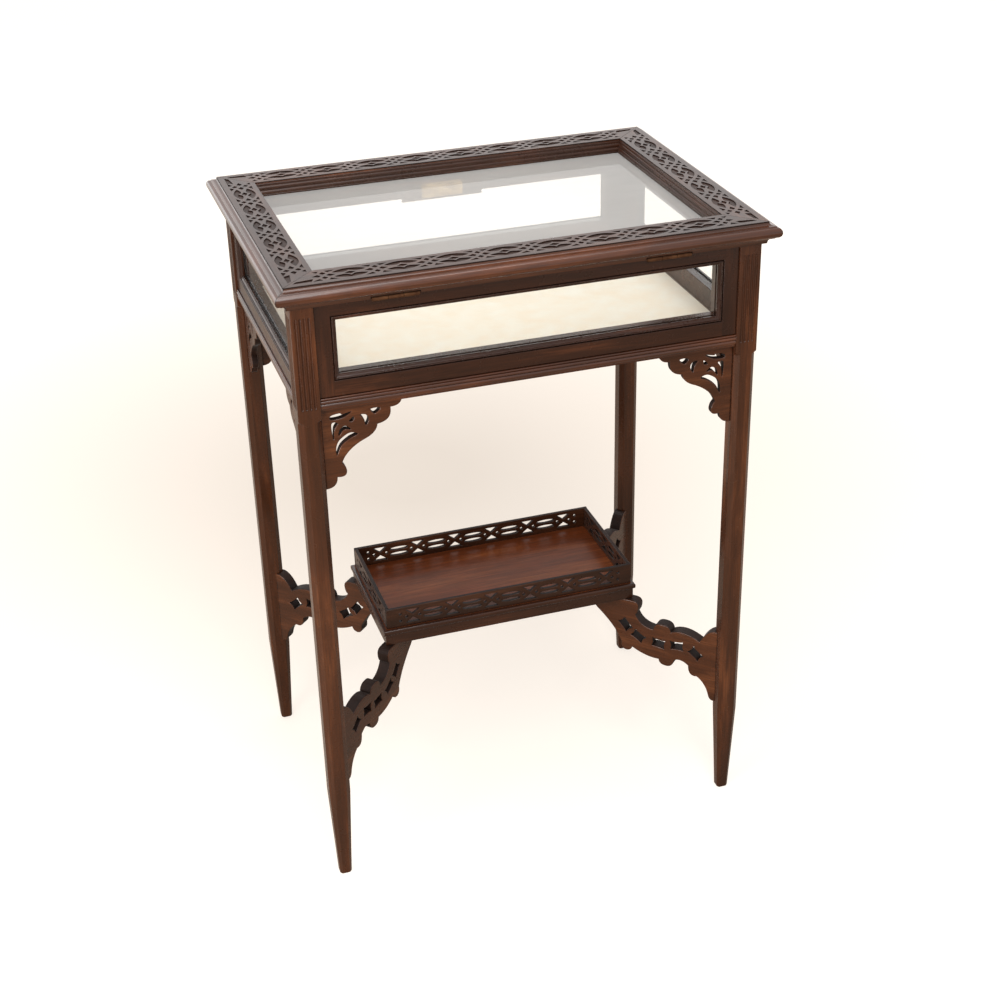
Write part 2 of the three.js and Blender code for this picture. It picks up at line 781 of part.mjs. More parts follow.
const railInnerY = halfDepth - frameSetback - frameThickness;
const blockFaceY = railInnerY - lockBlockThickness;
const lockTop = caseTop - glueLine;
const lockCaseBottom = openingTop + glueLine;
const lockCaseFrontY = blockFaceY + lockCaseDepth;
const stapleY = (blockFaceY + lockCaseFrontY) / 2;
const stapleHalfWidth = lockCaseDepth / 2 - lockCaseWall - stapleClearance;
const stapleBottom = lockCaseBottom + lockFloorThickness + stapleFloorGap;
const eyeHalfWidth = stapleHalfWidth - stapleLeg;
const eyeBottom = stapleBottom + stapleStrap;
const eyeTop = lidBottom - stapleShoulder;
const boltHalfWidth = eyeHalfWidth - stapleClearance;
const boltBottom = eyeBottom + stapleClearance;
const boltTop = eyeTop - stapleClearance;
const boltTip = staplePlace - stapleThickness / 2 - stapleClearance - boltTravel / 2;
const channelStart = lockCaseWall - lockCaseLength / 2;
const boltTail = channelStart + boltTailRoom;

function lockBlockGeometry() {
  const half = lockBlockLength / 2;
  const window = lockCaseLength / 2 + glueLine;
  const bottom = caseTop - lockBlockDrop;
  const back = railInnerY - glueLine;
  const blank = asSolid(block(-half, half, blockFaceY, back, bottom, lockTop));
  return asGeometry(cut(blank, [block(
    -window, window, blockFaceY - cutOverrun, back + cutOverrun, openingTop, lockTop + cutOverrun,
  )]));
}

function lockCaseGeometry() {
  const plateHalf = lockPlateLength / 2;
  const plateBack = blockFaceY - glueLine;
  const plateFront = plateBack - lockPlateThickness;
  const plateBottom = caseTop - lockBlockDrop + lockPlateMargin;
  const plate = block(-plateHalf, plateHalf, plateFront, plateBack, plateBottom, lockTop);
  const caseHalf = lockCaseLength / 2;
  const body = block(-caseHalf, caseHalf, plateFront, lockCaseFrontY, lockCaseBottom, lockTop);
  const pocketHalfX = stapleThickness / 2 + stapleClearance;
  const pocketHalfY = stapleHalfWidth + stapleClearance;
  const pocket = block(
    staplePlace - pocketHalfX, staplePlace + pocketHalfX, stapleY - pocketHalfY, stapleY + pocketHalfY,
    lockCaseBottom + lockFloorThickness, lockTop + cutOverrun,
  );
  const channelHalfY = boltHalfWidth + boltClearance;
  const channel = block(
    channelStart, boltTip + boltTravel + lockCaseWall, stapleY - channelHalfY, stapleY + channelHalfY,
    boltBottom - boltClearance, boltTop + boltClearance,
  );
  return asGeometry(cut(joined([plate, body]), [pocket, channel]));
}

function lockBoltGeometry() {
  return block(boltTail, boltTip, stapleY - boltHalfWidth, stapleY + boltHalfWidth, boltBottom, boltTop);
}

// The strike plate lies in the underside of the lid, and its staple hangs into the lock.
function lockStrikeGeometry() {
  const half = strikeLength / 2;
  const halfY = strikeWidth / 2;
  const top = lidBottom + strikeThickness;
  const plate = block(-half, half, stapleY - halfY, stapleY + halfY, lidBottom, top);
  const x0 = staplePlace - stapleThickness / 2;
  const x1 = staplePlace + stapleThickness / 2;
  const staple = block(x0, x1, stapleY - stapleHalfWidth, stapleY + stapleHalfWidth, stapleBottom, top);
  const eye = block(
    x0 - cutOverrun, x1 + cutOverrun, stapleY - eyeHalfWidth, stapleY + eyeHalfWidth, eyeBottom, eyeTop,
  );
  return asGeometry(cut(joined([plate, staple]), [eye]));
}

function strikeRecess() {
  const half = strikeLength / 2 + glueLine;
  const halfY = strikeWidth / 2 + glueLine;
  const top = lidBottom + strikeThickness + glueLine;
  const recess = block(-half, half, stapleY - halfY, stapleY + halfY, lidBottom - cutOverrun, top);
  return recess.rotateZ(-2 * quarterTurn);
}

// A keyhole: a round eye with a straight slot below it, centred on the rail's face
const keyholeZ = (openingTop + caseTop) / 2 + keyholeRadius / 2;

function keyholeOutline() {
  const slot = keySlotWidth / 2;
  const shape = new THREE.Shape();
  const meet = Math.asin(slot / keyholeRadius);
  shape.absarc(0, 0, keyholeRadius, -quarterTurn + meet, 3 * quarterTurn - meet, false);
  shape.lineTo(-slot, -keySlotLength);
  shape.lineTo(slot, -keySlotLength);
  return shape;
}

function keyholeCutter(depth) {
  const hole = boardFromOutline(keyholeOutline(), depth + 2 * cutOverrun);
  return hole.translate(-keyholePlace, -cutOverrun, keyholeZ);
}

function escutcheonGeometry() {
  const half = escutcheonWidth / 2;
  const high = escutcheonHeight / 2;
  const outline = new THREE.Shape();
  outline.absellipse(0, 0, half, high, 0, 2 * Math.PI, false, 0);
  const plate = boardFromOutline(outline, escutcheonThickness);
  plate.translate(-keyholePlace, -escutcheonThickness, (openingTop + caseTop) / 2);
  return asGeometry(cut(asSolid(plate), [keyholeCutter(frameThickness)]));
}

// Assembly

const table = new THREE.Group();

function place(parent, name, geometry, material, x = 0, y = 0, z = 0) {
  const mesh = new THREE.Mesh(geometry, material);
  mesh.name = name;
  mesh.position.set(x, y, z);
  parent.add(mesh);
  return mesh;
}

for (const corner of corners) {
  const x = corner.x * legAxisX;
  const y = corner.y * legAxisY;
  const leg = place(table, `leg_${corner.name}`, legGeometry(), mahogany(), x, y);
  leg.rotation.z = corner.turn;
  const stretcher = place(table, `stretcher_${corner.name}`, stretcherGeometry(), mahogany(), x, y);
  stretcher.rotation.z = corner.turn;
}

for (const side of sides) {
  const group = new THREE.Group();
  group.rotation.z = side.turn;
  table.add(group);
  const face = -(side.postFace - frameSetback);
  place(group, `frame_${side.name}`, sideFrameGeometry(side), mahogany(), 0, face);
  place(group, `glass_${side.name}`, sideGlassGeometry(side.span), clearGlass(), 0, face);
  place(group, `glass_bead_${side.name}`, sideBeadGeometry(side.span), mahogany(), 0, face);
  place(group, `astragal_${side.name}`, astragalGeometry(side.span), mahogany(), 0, face);
  place(group, `lid_rail_${side.name}`, lidRailGeometry(side), mahogany());
  for (const [index, mirror] of [[0, 1], [1, -1]]) {
    place(
      group, `spandrel_${side.name}_${side.ends[index]}`, spandrelGeometry(mirror), mahogany(),
      -mirror * (side.span - glueLine), -(side.postFace - spandrelSetback), astragalBottom - glueLine,
    );
  }
  const galleryFace = (side.isLong ? trayHalfY : trayHalfX) - galleryInset;
  const galleryHalf = (side.isLong ? trayHalfX : trayHalfY) - galleryInset;
  const boardHalf = side.isLong ? galleryHalf : galleryHalf - galleryThickness - glueLine;
  const gallery = galleryGeometry(boardHalf, galleryHalf);
  place(group, `gallery_${side.name}`, gallery, mahogany(), 0, -galleryFace, trayFloor);
}

place(table, "tray_frame", trayFrameGeometry(), mahogany());
place(table, "tray_board", trayBoardGeometry(), trayMahogany());
place(table, "base_board", caseFloorGeometry(astragalBottom, baseBoardThickness), mahogany());
place(
  table, "lining_panel",
  caseFloorGeometry(astragalBottom + baseBoardThickness + glueLine, liningThickness), creamCloth(),
);

place(table, "lid_glass", lidGlassGeometry(), clearGlass());
place(table, "lid_glass_bead", lidGlassBeadGeometry(), mahogany());

for (const [name, side] of [["left", -1], ["right", 1]]) {
  const middle = side * hingeOffset;
  place(table, `hinge_case_leaf_${name}`, hingeLeafGeometry(middle, false), brass());
  place(table, `hinge_lid_leaf_${name}`, hingeLeafGeometry(middle, true), brass());
  place(table, `hinge_pin_${name}`, hingePinGeometry(middle), steel());
}

place(table, "lock_block", lockBlockGeometry(), mahogany());
place(table, "lock_case", lockCaseGeometry(), brass());
place(table, "lock_bolt", lockBoltGeometry(), steel());
place(table, "lock_strike", lockStrikeGeometry(), brass());
const escutcheon = place(
  table, "escutcheon", escutcheonGeometry(), brass(), 0, halfDepth - frameSetback,
);
escutcheon.rotation.z = 2 * quarterTurn;

export default table;
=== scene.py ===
from collections import namedtuple
from contextlib import contextmanager
from math import cos, pi, radians, sin, sqrt

import bmesh
import bpy
from mathutils import Matrix, Vector


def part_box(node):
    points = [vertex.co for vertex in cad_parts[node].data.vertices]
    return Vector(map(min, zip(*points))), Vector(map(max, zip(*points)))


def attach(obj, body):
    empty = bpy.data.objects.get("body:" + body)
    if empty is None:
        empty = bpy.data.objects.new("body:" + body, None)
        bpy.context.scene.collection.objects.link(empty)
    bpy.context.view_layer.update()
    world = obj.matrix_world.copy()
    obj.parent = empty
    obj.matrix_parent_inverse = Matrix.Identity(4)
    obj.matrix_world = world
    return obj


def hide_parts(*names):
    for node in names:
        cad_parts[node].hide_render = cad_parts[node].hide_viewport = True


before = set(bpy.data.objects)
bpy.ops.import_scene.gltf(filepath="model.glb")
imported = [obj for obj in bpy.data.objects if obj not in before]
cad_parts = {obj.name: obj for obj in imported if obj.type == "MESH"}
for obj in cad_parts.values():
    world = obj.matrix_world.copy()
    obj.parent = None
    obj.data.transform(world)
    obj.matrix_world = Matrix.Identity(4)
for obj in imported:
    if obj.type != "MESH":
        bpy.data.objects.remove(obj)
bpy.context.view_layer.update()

# Mahogany display table with a glazed lid, glazed sides and a galleried tray.
# Metres, +Z up, +X along the long side, the hinged side faces -Y.

mm = 0.001

# Whole table
table_height = 760 * mm
body_length = 519.6 * mm
body_depth = 365.4 * mm
glue_line = 0.3 * mm
seat_gap = 0.3 * mm

# Points this close are one point, and levels this close are one level
same_point = 0.001 * mm
same_level = 0.01 * mm

# Legs and their flutes
leg_width = 25 * mm
foot_width = 14.5 * mm
foot_round = 2 * mm
leg_chamfer = 5.5 * mm
leg_arris = 0.6 * mm
leg_edge_round = 0.35 * mm
chamfer_stop_drop = 11 * mm
taper_height = 122 * mm
flute_count = 4
flute_width = 3 * mm
flute_pitch = 4.6 * mm
flute_depth = 1.5 * mm
flute_bottom_margin = 4 * mm
flute_top_margin = 11.7 * mm

# Side frames and the beads round their glass
frame_setback = 3 * mm
frame_thickness = 19 * mm
frame_height = 103.7 * mm
frame_round = 0.5 * mm
stile_width = 16.5 * mm
top_rail_width = 14.7 * mm
bottom_rail_width = 17 * mm
rebate_width = 6 * mm
bead_depth = 6.3 * mm

# Moulded rail under the frames
astragal_height = 15 * mm
astragal_projection = 2.5 * mm

# Case floor and its lining
floor_round = 0.6 * mm
lining_cut_step = 6 * mm
lining_wave = 0.2 * mm

# Corner spandrels
spandrel_width = 88 * mm
spandrel_drop = 94 * mm
spandrel_thickness = 8 * mm
spandrel_setback = 7.2 * mm
spandrel_round = 1.2 * mm

# Tray and its gallery
tray_inset = 88.6 * mm
tray_frame_bottom = 248 * mm
tray_frame_height = 14 * mm
tray_frame_round = 0.8 * mm
tray_board_thickness = 7 * mm
tray_board_projection = 2.2 * mm
tray_board_round = 2.2 * mm
gallery_inset = 2.5 * mm
gallery_height = 26.4 * mm
gallery_thickness = 4.5 * mm
gallery_round = 0.7 * mm
gallery_pitch = 48 * mm
gallery_end_margin = 33 * mm
gallery_rail = 4.2 * mm
cluster_half_width = 9 * mm
cluster_waist = 2 * mm
dot_radius = 1.8 * mm
dot_spread = 8.2 * mm
end_dot_reach = 15.7 * mm
end_dot_rise = 4.7 * mm
lens_start = 12.6 * mm
lens_half_height = 2.3 * mm
lens_rise = 3.9 * mm

# Stretcher brackets
stretcher_thickness = 15 * mm
stretcher_drop = 118 * mm
stretcher_round = 1 * mm
spool_half_length = 8.5 * mm
spool_half_height = 6.4 * mm

# Lid
lid_thickness = 25 * mm
lid_overhang = 16.2 * mm
lid_nosing = 12.2 * mm
lid_reveal = 11 * mm
lid_glass_thickness = 3.6 * mm
lid_bead_height = 4.8 * mm
lid_bead_round = 1.25 * mm
inner_moulding_width = 5 * mm
lid_rebate_width = 5 * mm
lid_underside_inset = 12.2 * mm

# Blind fret on the flat of the lid
fret_depth = 1.2 * mm
fret_round = 0.25 * mm
fret_widening = 0.35 * mm
fret_pitch = 55 * mm
fret_end_margin = 26.3 * mm
fret_overlap_share = 0.07
mitre_margin = 4 * mm

# Hinges and lock
hinge_leaf_thickness = 1.5 * mm
hinge_barrel_width = 5.2 * mm
hinge_leaf_round = 0.12 * mm
hinge_pin_round = 0.25 * mm
lock_plate_round = 0.15 * mm
lock_block_round = 0.5 * mm
bolt_round = 0.3 * mm
escutcheon_round = 0.2 * mm
recess_clearance = 0.3 * mm
cut_overrun = 5 * mm

# Worked out from the sizes above
half_length = body_length / 2
half_depth = body_depth / 2
lid_bottom = table_height - lid_thickness
case_top = lid_bottom - seat_gap
frame_bottom = case_top - frame_height
astragal_bottom = frame_bottom - astragal_height
leg_half = leg_width / 2
leg_axis_x = half_length - leg_half
leg_axis_y = half_depth - leg_half
opening_top = case_top - top_rail_width
opening_bottom = frame_bottom + bottom_rail_width
tray_board_bottom = tray_frame_bottom + tray_frame_height
tray_floor = tray_board_bottom + tray_board_thickness
tray_half_x = leg_axis_x - tray_inset
tray_half_y = leg_axis_y - tray_inset
lid_opening_x = half_length - frame_setback - frame_thickness - lid_reveal
lid_opening_y = half_depth - frame_setback - frame_thickness - lid_reveal
lid_flat_width = half_length + lid_overhang - lid_nosing - lid_opening_x
lid_rebate_top = lid_bottom + lid_bead_height + lid_glass_thickness + 2 * glue_line
lid_glass_depth = table_height - lid_rebate_top

# The four sides. Each runs along its own direction, with the outside to the right of it.
Side = namedtuple("Side", "name along grain face span ends")
long_span = half_length - leg_width
short_span = half_depth - leg_width
sides = [
    Side("near", Vector((1, 0, 0)), "x", half_depth, long_span, ("left", "right")),
    Side("right", Vector((0, 1, 0)), "y", half_length, short_span, ("near", "far")),
    Side("far", Vector((-1, 0, 0)), "x", half_depth, long_span, ("right", "left")),
    Side("left", Vector((0, -1, 0)), "y", half_length, short_span, ("far", "near")),
]
corners = {
    "near_left": (-1, -1),
    "near_right": (1, -1),
    "far_right": (1, 1),
    "far_left": (-1, 1),
}


# Colours and shading


def srgb(red, green, blue):
    """A colour in screen values from 0 to 255, as the linear values that shaders take."""
    linear = [(value / 255) ** 2.2 for value in (red, green, blue)]
    return (*linear, 1)


def grey(value):
    return (value, value, value, 1)


class Shades:
    """The shading nodes of one material, or of the world."""

    def __init__(self, owner):
        owner.use_nodes = True
        self.nodes = owner.node_tree.nodes
        self.links = owner.node_tree.links

    def feed(self, node, sockets):
        """Join sockets to the outputs given for them, or set their values."""
        for key, value in sockets.items():
            if isinstance(value, bpy.types.NodeSocket):
                self.links.new(value, node.inputs[key])
            else:
                node.inputs[key].default_value = value

    def add(self, kind, output, sockets=None, **settings):
        node = self.nodes.new(f"ShaderNode{kind}")
        for name, value in settings.items():
            setattr(node, name, value)
        self.feed(node, sockets or {})
        return node.outputs[output]

    def place(self):
        return self.add("TexCoord", "Object")

    def scaled(self, vector, scale, turn=(0, 0, 0)):
        kind = "TEXTURE" if any(turn) else "POINT"
        sockets = {"Vector": vector, "Rotation": turn, "Scale": scale}
        return self.add("Mapping", "Vector", sockets, vector_type=kind)

    def noise(self, vector, scale, detail, roughness, seed=None, warp=0):
        sockets = dict(Vector=vector, Scale=scale, Detail=detail, Roughness=roughness, Distortion=warp)
        if seed:
            sockets["W"] = seed
        return self.add("TexNoise", "Fac", sockets, noise_dimensions="4D" if seed else "3D")

    def ramp(self, value, stops):
        node = self.nodes.new("ShaderNodeValToRGB")
        points = node.color_ramp.elements
        while len(points) < len(stops):
            points.new(0.5)
        for point, (place, colour) in zip(points, stops):
            point.position = place
            point.color = colour
        self.feed(node, {"Fac": value})
        return node.outputs["Color"]

    def tone(self, value, start, end, low, high):
        """A grey from low to high while the value goes from start to end."""
        return self.ramp(value, [(start, grey(low)), (end, grey(high))])

    def multiplied(self, colour, *tones):
        for tone in tones:
            sockets = {"Factor": 1, "A": colour, "B": tone}
            colour = self.add("Mix", "Result", sockets, data_type="RGBA", blend_type="MULTIPLY")
        return colour

    def hollows(self, distance, inside=False):
        return self.add("AmbientOcclusion", "AO", {"Distance": distance}, samples=6, inside=inside)

    def relief(self, height, strength, distance):
        return self.add("Bump", "Normal", {"Height": height, "Strength": strength, "Distance": distance})

    def rise(self, value, start, end, low, high):
        """A number from low to high while the value goes from start to end."""
        sockets = {"Value": value, "From Min": start, "From Max": end, "To Min": low, "To Max": high}
        return self.add("MapRange", "Result", sockets)

    def product(self, first, second):
        return self.add("Math", "Value", {0: first, 1: second}, operation="MULTIPLY")

    def largest(self, first, *others):
        for other in others:
            first = self.add("Math", "Value", {0: first, 1: other}, operation="MAXIMUM")
        return first

    def distance(self, place, middle):
        return self.add("VectorMath", "Value", {0: place, 1: middle}, operation="DISTANCE")

    def blend(self, share, first, second):
        return self.add("MixShader", "Shader", {"Fac": share, 1: first, 2: second})

    def coat(self, **sockets):
        """Feed the standard shader. An underscore stands for a space in a socket's name."""
        named = {name.replace("_", " "): value for name, value in sockets.items()}
        self.feed(self.nodes["Principled BSDF"], named)

    def show(self, surface):
        """Show a surface in place of the standard shader."""
        self.nodes.remove(self.nodes["Principled BSDF"])
        self.feed(self.nodes["Material Output"], {"Surface": surface})


def new_material(name):
    material = bpy.data.materials.new(name)
    return material, Shades(material)


# Mahogany. Scales are repeats to the metre, along the grain and across it.

figure_scale = (5, 34, 34)
streak_scale = (22, 620, 620)
pore_scale = (160, 2600, 2600)
blotch_scale = 14
rub_scale = 30
# Reach of the painted shade in corners and recesses
hollow_shade_reach = 5 * mm
# Reach of the lighter convex edges: wear and a painted highlight
wear_and_highlight_reach = 0.9 * mm
pore_relief = 0.05 * mm


def mahogany(name, turn, colours, roughness, shine, polish):
    """Polished mahogany. The turn brings the length of the grain to X."""
    material, tree = new_material(name)
    dark, middle, light = colours
    place = tree.place()
    seed = tree.add("ObjectInfo", "Random")
    lengthwise = tree.scaled(place, (1, 1, 1), turn)

    figure = tree.noise(tree.scaled(lengthwise, figure_scale), 1, 6, 0.62, seed, 0.5)
    streaks = tree.noise(tree.scaled(lengthwise, streak_scale), 1, 3, 0.6, seed)
    pores = tree.noise(tree.scaled(lengthwise, pore_scale), 1, 2, 0.5, seed)
    pore_tone = tree.tone(pores, 0.3, 0.42, 0.6, 1)
    blotches = tree.noise(place, blotch_scale, 3, 0.5, seed)
    # The last tone darkens corners and recesses near other faces: painted shade.
    colour = tree.multiplied(
        tree.ramp(figure, [(0.34, dark), (0.5, middle), (0.66, light)]),
        tree.tone(streaks, 0.38, 0.6, 0.5, 1.16),
        pore_tone,
        tree.tone(blotches, 0.3, 0.7, 0.84, 1.12),
        tree.tone(tree.hollows(hollow_shade_reach), 0.1, 0.66, 0.16, 1),
    )
    # Convex edges are mixed toward the light tone: partly wear, partly a painted highlight.
    worn_and_highlit = tree.tone(tree.hollows(wear_and_highlight_reach, inside=True), 0.5, 0.85, 0, 0.25)
    colour = tree.add("Mix", "Result", {"Factor": worn_and_highlit, "A": colour, "B": light}, data_type="RGBA")

    rubbed = tree.noise(place, rub_scale, 4, 0.6, seed)
    tree.coat(
        Base_Color=colour,
        Roughness=tree.rise(rubbed, 0, 1, roughness - 0.06, roughness + 0.12),
        Specular_IOR_Level=shine,
        Coat_Weight=polish,
        Coat_Roughness=0.1,
        Sheen_Weight=0.1,
        Sheen_Roughness=0.3,
        Normal=tree.relief(pore_tone, 0.35, pore_relief),
    )
    return material


grain_turns = {
    "x": (0, 0, 0),
    "y": (0, 0, pi / 2),
    "z": (0, -pi / 2, 0),
    "rising": (0, 0, pi / 4),
    "falling": (0, 0, -pi / 4),
}


def wood(name, dark, middle, light, roughness, shine, polish):
    """One finish of mahogany, for each way that the grain runs."""
    colours = [srgb(*colour) for colour in (dark, middle, light)]
    return {
        grain: mahogany(f"{name}_{grain}", turn, colours, roughness, shine, polish)
        for grain, turn in grain_turns.items()
    }


leg_wood = wood("mahogany", (26, 12, 6), (68, 37, 22), (116, 69, 42), 0.24, 0.27, 0.22)
frame_wood = wood("frame_mahogany", (20, 9, 5), (50, 28, 18), (86, 50, 32), 0.24, 0.27, 0.22)
moulding_wood = wood("moulding_mahogany", (24, 10, 5), (64, 33, 18), (112, 62, 34), 0.2, 0.32, 0.5)
fret_wood = wood("fret_mahogany", (18, 9, 6), (50, 29, 19), (86, 53, 36), 0.26, 0.28, 0.05)
# Darker wood for the floor of the fret's pockets: painted shade in the recesses.
shaded_ground_wood = wood("fret_ground", (18, 10, 7), (40, 24, 17), (62, 38, 27), 0.5, 0.2, 0.05)
# Dark wood for the edges and the walls of the piercings in the cut boards: painted shade.
shaded_edge_wood = wood("sawn_edge", (16, 9, 6), (34, 20, 14), (54, 33, 23), 0.6, 0.2, 0.05)
tray_wood = wood("tray_mahogany", (62, 24, 11), (114, 54, 27), (156, 88, 50), 0.3, 0.1, 0.05)


# Glass, metals and cloth

wipe_scale = (6, 14, 6)
brush_scale = (60, 2200, 2200)
tarnish_scale = 120
pile_scale = 40
weave_pitch = 0.9 * mm
weave_relief = 0.12 * mm


def clear_glass(name, haze, haze_along):
    """Old sheet glass with a dull film, which scatters more of the light along the pane."""
    material, tree = new_material(name)
    through = tree.add("BsdfTransparent", "BSDF", {"Color": (0.985, 0.989, 0.985, 1)})
    film_front = tree.add("BsdfDiffuse", "BSDF", {"Color": grey(0.95)})
    film_back = tree.add("BsdfTranslucent", "BSDF", {"Color": grey(0.95)})
    front = tree.add(
        "Math", "Value", {0: 1, 1: tree.add("NewGeometry", "Backfacing")}, operation="SUBTRACT",
    )
    slant = tree.add("LayerWeight", "Facing", {"Blend": 0.5})
    wiped = tree.noise(tree.scaled(tree.place(), wipe_scale), 1, 4, 0.6)
    film = tree.product(tree.rise(slant, 0, 1, haze, haze_along), tree.tone(wiped, 0.3, 0.7, 0.9, 1))
    hazy = tree.blend(tree.product(film, front), through, tree.blend(0.45, film_front, film_back))
    mirror = tree.product(tree.product(tree.add("Fresnel", "Fac", {"IOR": 1.5}), front), 0.45)
    gloss = tree.add("BsdfGlossy", "BSDF", {"Roughness": 0.02})
    tree.show(tree.blend(mirror, hazy, gloss))
    return material


def metal(name, dark, light, roughness):
    material, tree = new_material(name)
    place = tree.place()
    tarnish = tree.noise(place, tarnish_scale, 4, 0.6)
    brushed = tree.noise(tree.scaled(place, brush_scale), 1, 2, 0.5)
    tree.coat(
        Base_Color=tree.ramp(tarnish, [(0.35, srgb(*dark)), (0.65, srgb(*light))]),
        Metallic=1,
        Roughness=tree.rise(brushed, 0, 1, roughness - 0.08, roughness + 0.15),
    )
    return material


def cream_cloth():
    material, tree = new_material("cream_cloth")
    place = tree.place()
    thread = {"Vector": place, "Scale": pi / (10 * weave_pitch), "Distortion": 0.6}
    weave = tree.product(
        tree.add("TexWave", "Fac", thread, bands_direction="X"),
        tree.add("TexWave", "Fac", thread, bands_direction="Y"),
    )
    pile = tree.noise(place, pile_scale, 4, 0.6)
    colour = tree.ramp(pile, [(0.3, srgb(253, 238, 216)), (0.7, srgb(255, 248, 233))])
    tree.coat(
        Base_Color=tree.multiplied(colour, tree.tone(weave, 0, 0.5, 0.93, 1)),
        Roughness=0.9,
        Specular_IOR_Level=0.15,
        Sheen_Weight=0.2,
        Normal=tree.relief(weave, 0.4, weave_relief),
    )
    return material


side_glass = clear_glass("side_glass", 0, 0.05)
top_glass = clear_glass("top_glass", 0.04, 0.73)
brass = metal("brass", (136, 106, 62), (196, 168, 118), 0.4)
old_brass = metal("old_brass", (84, 58, 44), (112, 80, 58), 0.6)
steel = metal("steel", (104, 100, 94), (150, 146, 138), 0.35)
cloth = cream_cloth()


# Mesh helpers


def outside_of(along):
    return along.cross(Vector((0, 0, 1)))


def stood(along, origin, point):
    """A point [along, up, outward] from an origin, in table coordinates."""
    x, up, out = point
    return origin + along * x + Vector((0, 0, up)) + outside_of(along) * out


@contextmanager
def reworked(mesh):
    """A mesh opened for editing, and written back."""
    work = bmesh.new()
    work.from_mesh(mesh)
    yield work
    work.to_mesh(mesh)
    work.free()


def covered(mesh, *materials):
    mesh.materials.clear()
    for material in materials:
        mesh.materials.append(material)
    return mesh


def mesh_from(points, faces, *materials):
    mesh = bpy.data.meshes.new("mesh")
    mesh.from_pydata([tuple(point) for point in points], [], faces)
    mesh.validate()
    return covered(mesh, *materials)


def faced_outward(mesh):
    with reworked(mesh) as work:
        bmesh.ops.recalc_face_normals(work, faces=work.faces)
    return mesh


def shaded(mesh, sharp_angle=radians(32)):
    mesh.shade_smooth()
    mesh.set_sharp_from_angle(angle=sharp_angle)
    return mesh


pieces = []


def loose(name, mesh):
    thing = bpy.data.objects.new(name, mesh)
    bpy.context.scene.collection.objects.link(thing)
    return thing


def piece(name, mesh, node, body="table", slot="mahogany"):
    mesh.name = name
    thing = loose(name, shaded(mesh))
    pieces.append(thing)
    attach(thing, body)
    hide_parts(node)
    return thing


def smooth_run(points, steps):
    """Points on a smooth curve through the given ones."""
    made = []
    for index in range(len(points) - 1):
        before = points[max(index - 1, 0)]
        start = points[index]
        end = points[index + 1]
        after = points[min(index + 2, len(points) - 1)]
        for step in range(steps):
            t = step / steps
            made.append(tuple(
                0.5 * (2 * b + (c - a) * t + (2 * a - 5 * b + 4 * c - d) * t * t
                       + (3 * b - a - 3 * c + d) * t ** 3)
                for a, b, c, d in zip(before, start, end, after)
            ))
    made.append(tuple(points[-1]))
    return made


def smooth_loop(points, steps=5):
    """Points on a smooth closed curve through the given ones."""
    around = [points[-1], *points, points[0], points[1]]
    return smooth_run(around, steps)[steps:-steps - 1]


def profile(runs, corner, size, steps=4):
    """Points of a profile. A run of one point is a straight step, and a longer one is smooth."""
    points = []
    for run in runs:
        points += smooth_run([points[-1], *run], steps)[1:] if len(run) > 1 else run
    return [(corner[0] + out * size[0], corner[1] + up * size[1]) for out, up in points]


def loop_faces(here, there, count):
    """The faces between two loops of points with the given first numbers."""
    return [
        (here + index, there + index, there + (index + 1) % count, here + (index + 1) % count)
        for index in range(count)
    ]


def moulding(section, along, half_length_at, inset, *materials):
    """A rail with a section of [outward, height] pairs, and a length for each of them."""
    points = [
        stood(along, Vector(), (end * half_length_at(out), up, inset + out))
        for end in (-1, 1) for out, up in section
    ]
    count = len(section)
    caps = [tuple(range(count)), tuple(reversed(range(count, 2 * count)))]
    return faced_outward(mesh_from(points, caps + loop_faces(0, count, count), *materials))


def ring(section, half_x, half_y, place, *materials):
    """A closed frame with a section of [outward, depth] pairs. Place puts a point in the table."""
    count = len(section)
    points = [
        place((sign_x * (half_x + out), sign_y * (half_y + out), depth))
        for sign_x, sign_y in corners.values() for out, depth in section
    ]
    faces = []
    for corner in range(4):
        faces += loop_faces(corner * count, (corner + 1) % 4 * count, count)
    mesh = faced_outward(mesh_from(points, faces, *materials))
    for polygon in mesh.polygons:
        polygon.material_index = (polygon.index // count) % 2
    return mesh


def wound(points, left):
    """The points of a loop in the order that has its inside to the left, or to the right."""
    area = sum(a[0] * b[1] - b[0] * a[1] for a, b in zip(points, [*points[1:], points[0]]))
    return points if (area > 0) == left else list(reversed(points))


wall_slope = 0.5


def board_curve(outline, openings, thickness, rounding):
    """A flat board about the origin, with openings through it and rounded edges."""
    curve = bpy.data.curves.new("board", "CURVE")
    curve.dimensions = "2D"
    curve.fill_mode = "BOTH"
    curve.extrude = thickness / 2 - rounding
    curve.bevel_depth = rounding
    curve.bevel_resolution = 2
    curve.offset = -rounding
    for points in [wound(outline, False), *[wound(opening, True) for opening in openings]]:
        spline = curve.splines.new("POLY")
        spline.points.add(len(points) - 1)
        spline.use_cyclic_u = True
        for made, (x, up) in zip(spline.points, points):
            made.co = (x, up, 0, 1)
    return curve


def board(outline, openings, thickness, rounding, place, *materials):
    """A board in its place, with one material for its faces and one for its edges."""
    curve = board_curve(outline, openings, thickness, rounding)
    holder = bpy.data.objects.new("board", curve)
    mesh = covered(bpy.data.meshes.new_from_object(holder), *materials)
    bpy.data.objects.remove(holder)
    bpy.data.curves.remove(curve)
    for polygon in mesh.polygons:
        # The edges take the second material, which on the pierced boards and the fret is a painted shade.
        polygon.material_index = 1 if abs(polygon.normal.z) < wall_slope else 0
    for vertex in mesh.vertices:
        vertex.co = place(vertex.co)
    with reworked(mesh) as work:
        bmesh.ops.remove_doubles(work, verts=work.verts, dist=same_point)
        bmesh.ops.recalc_face_normals(work, faces=work.faces)
    return mesh


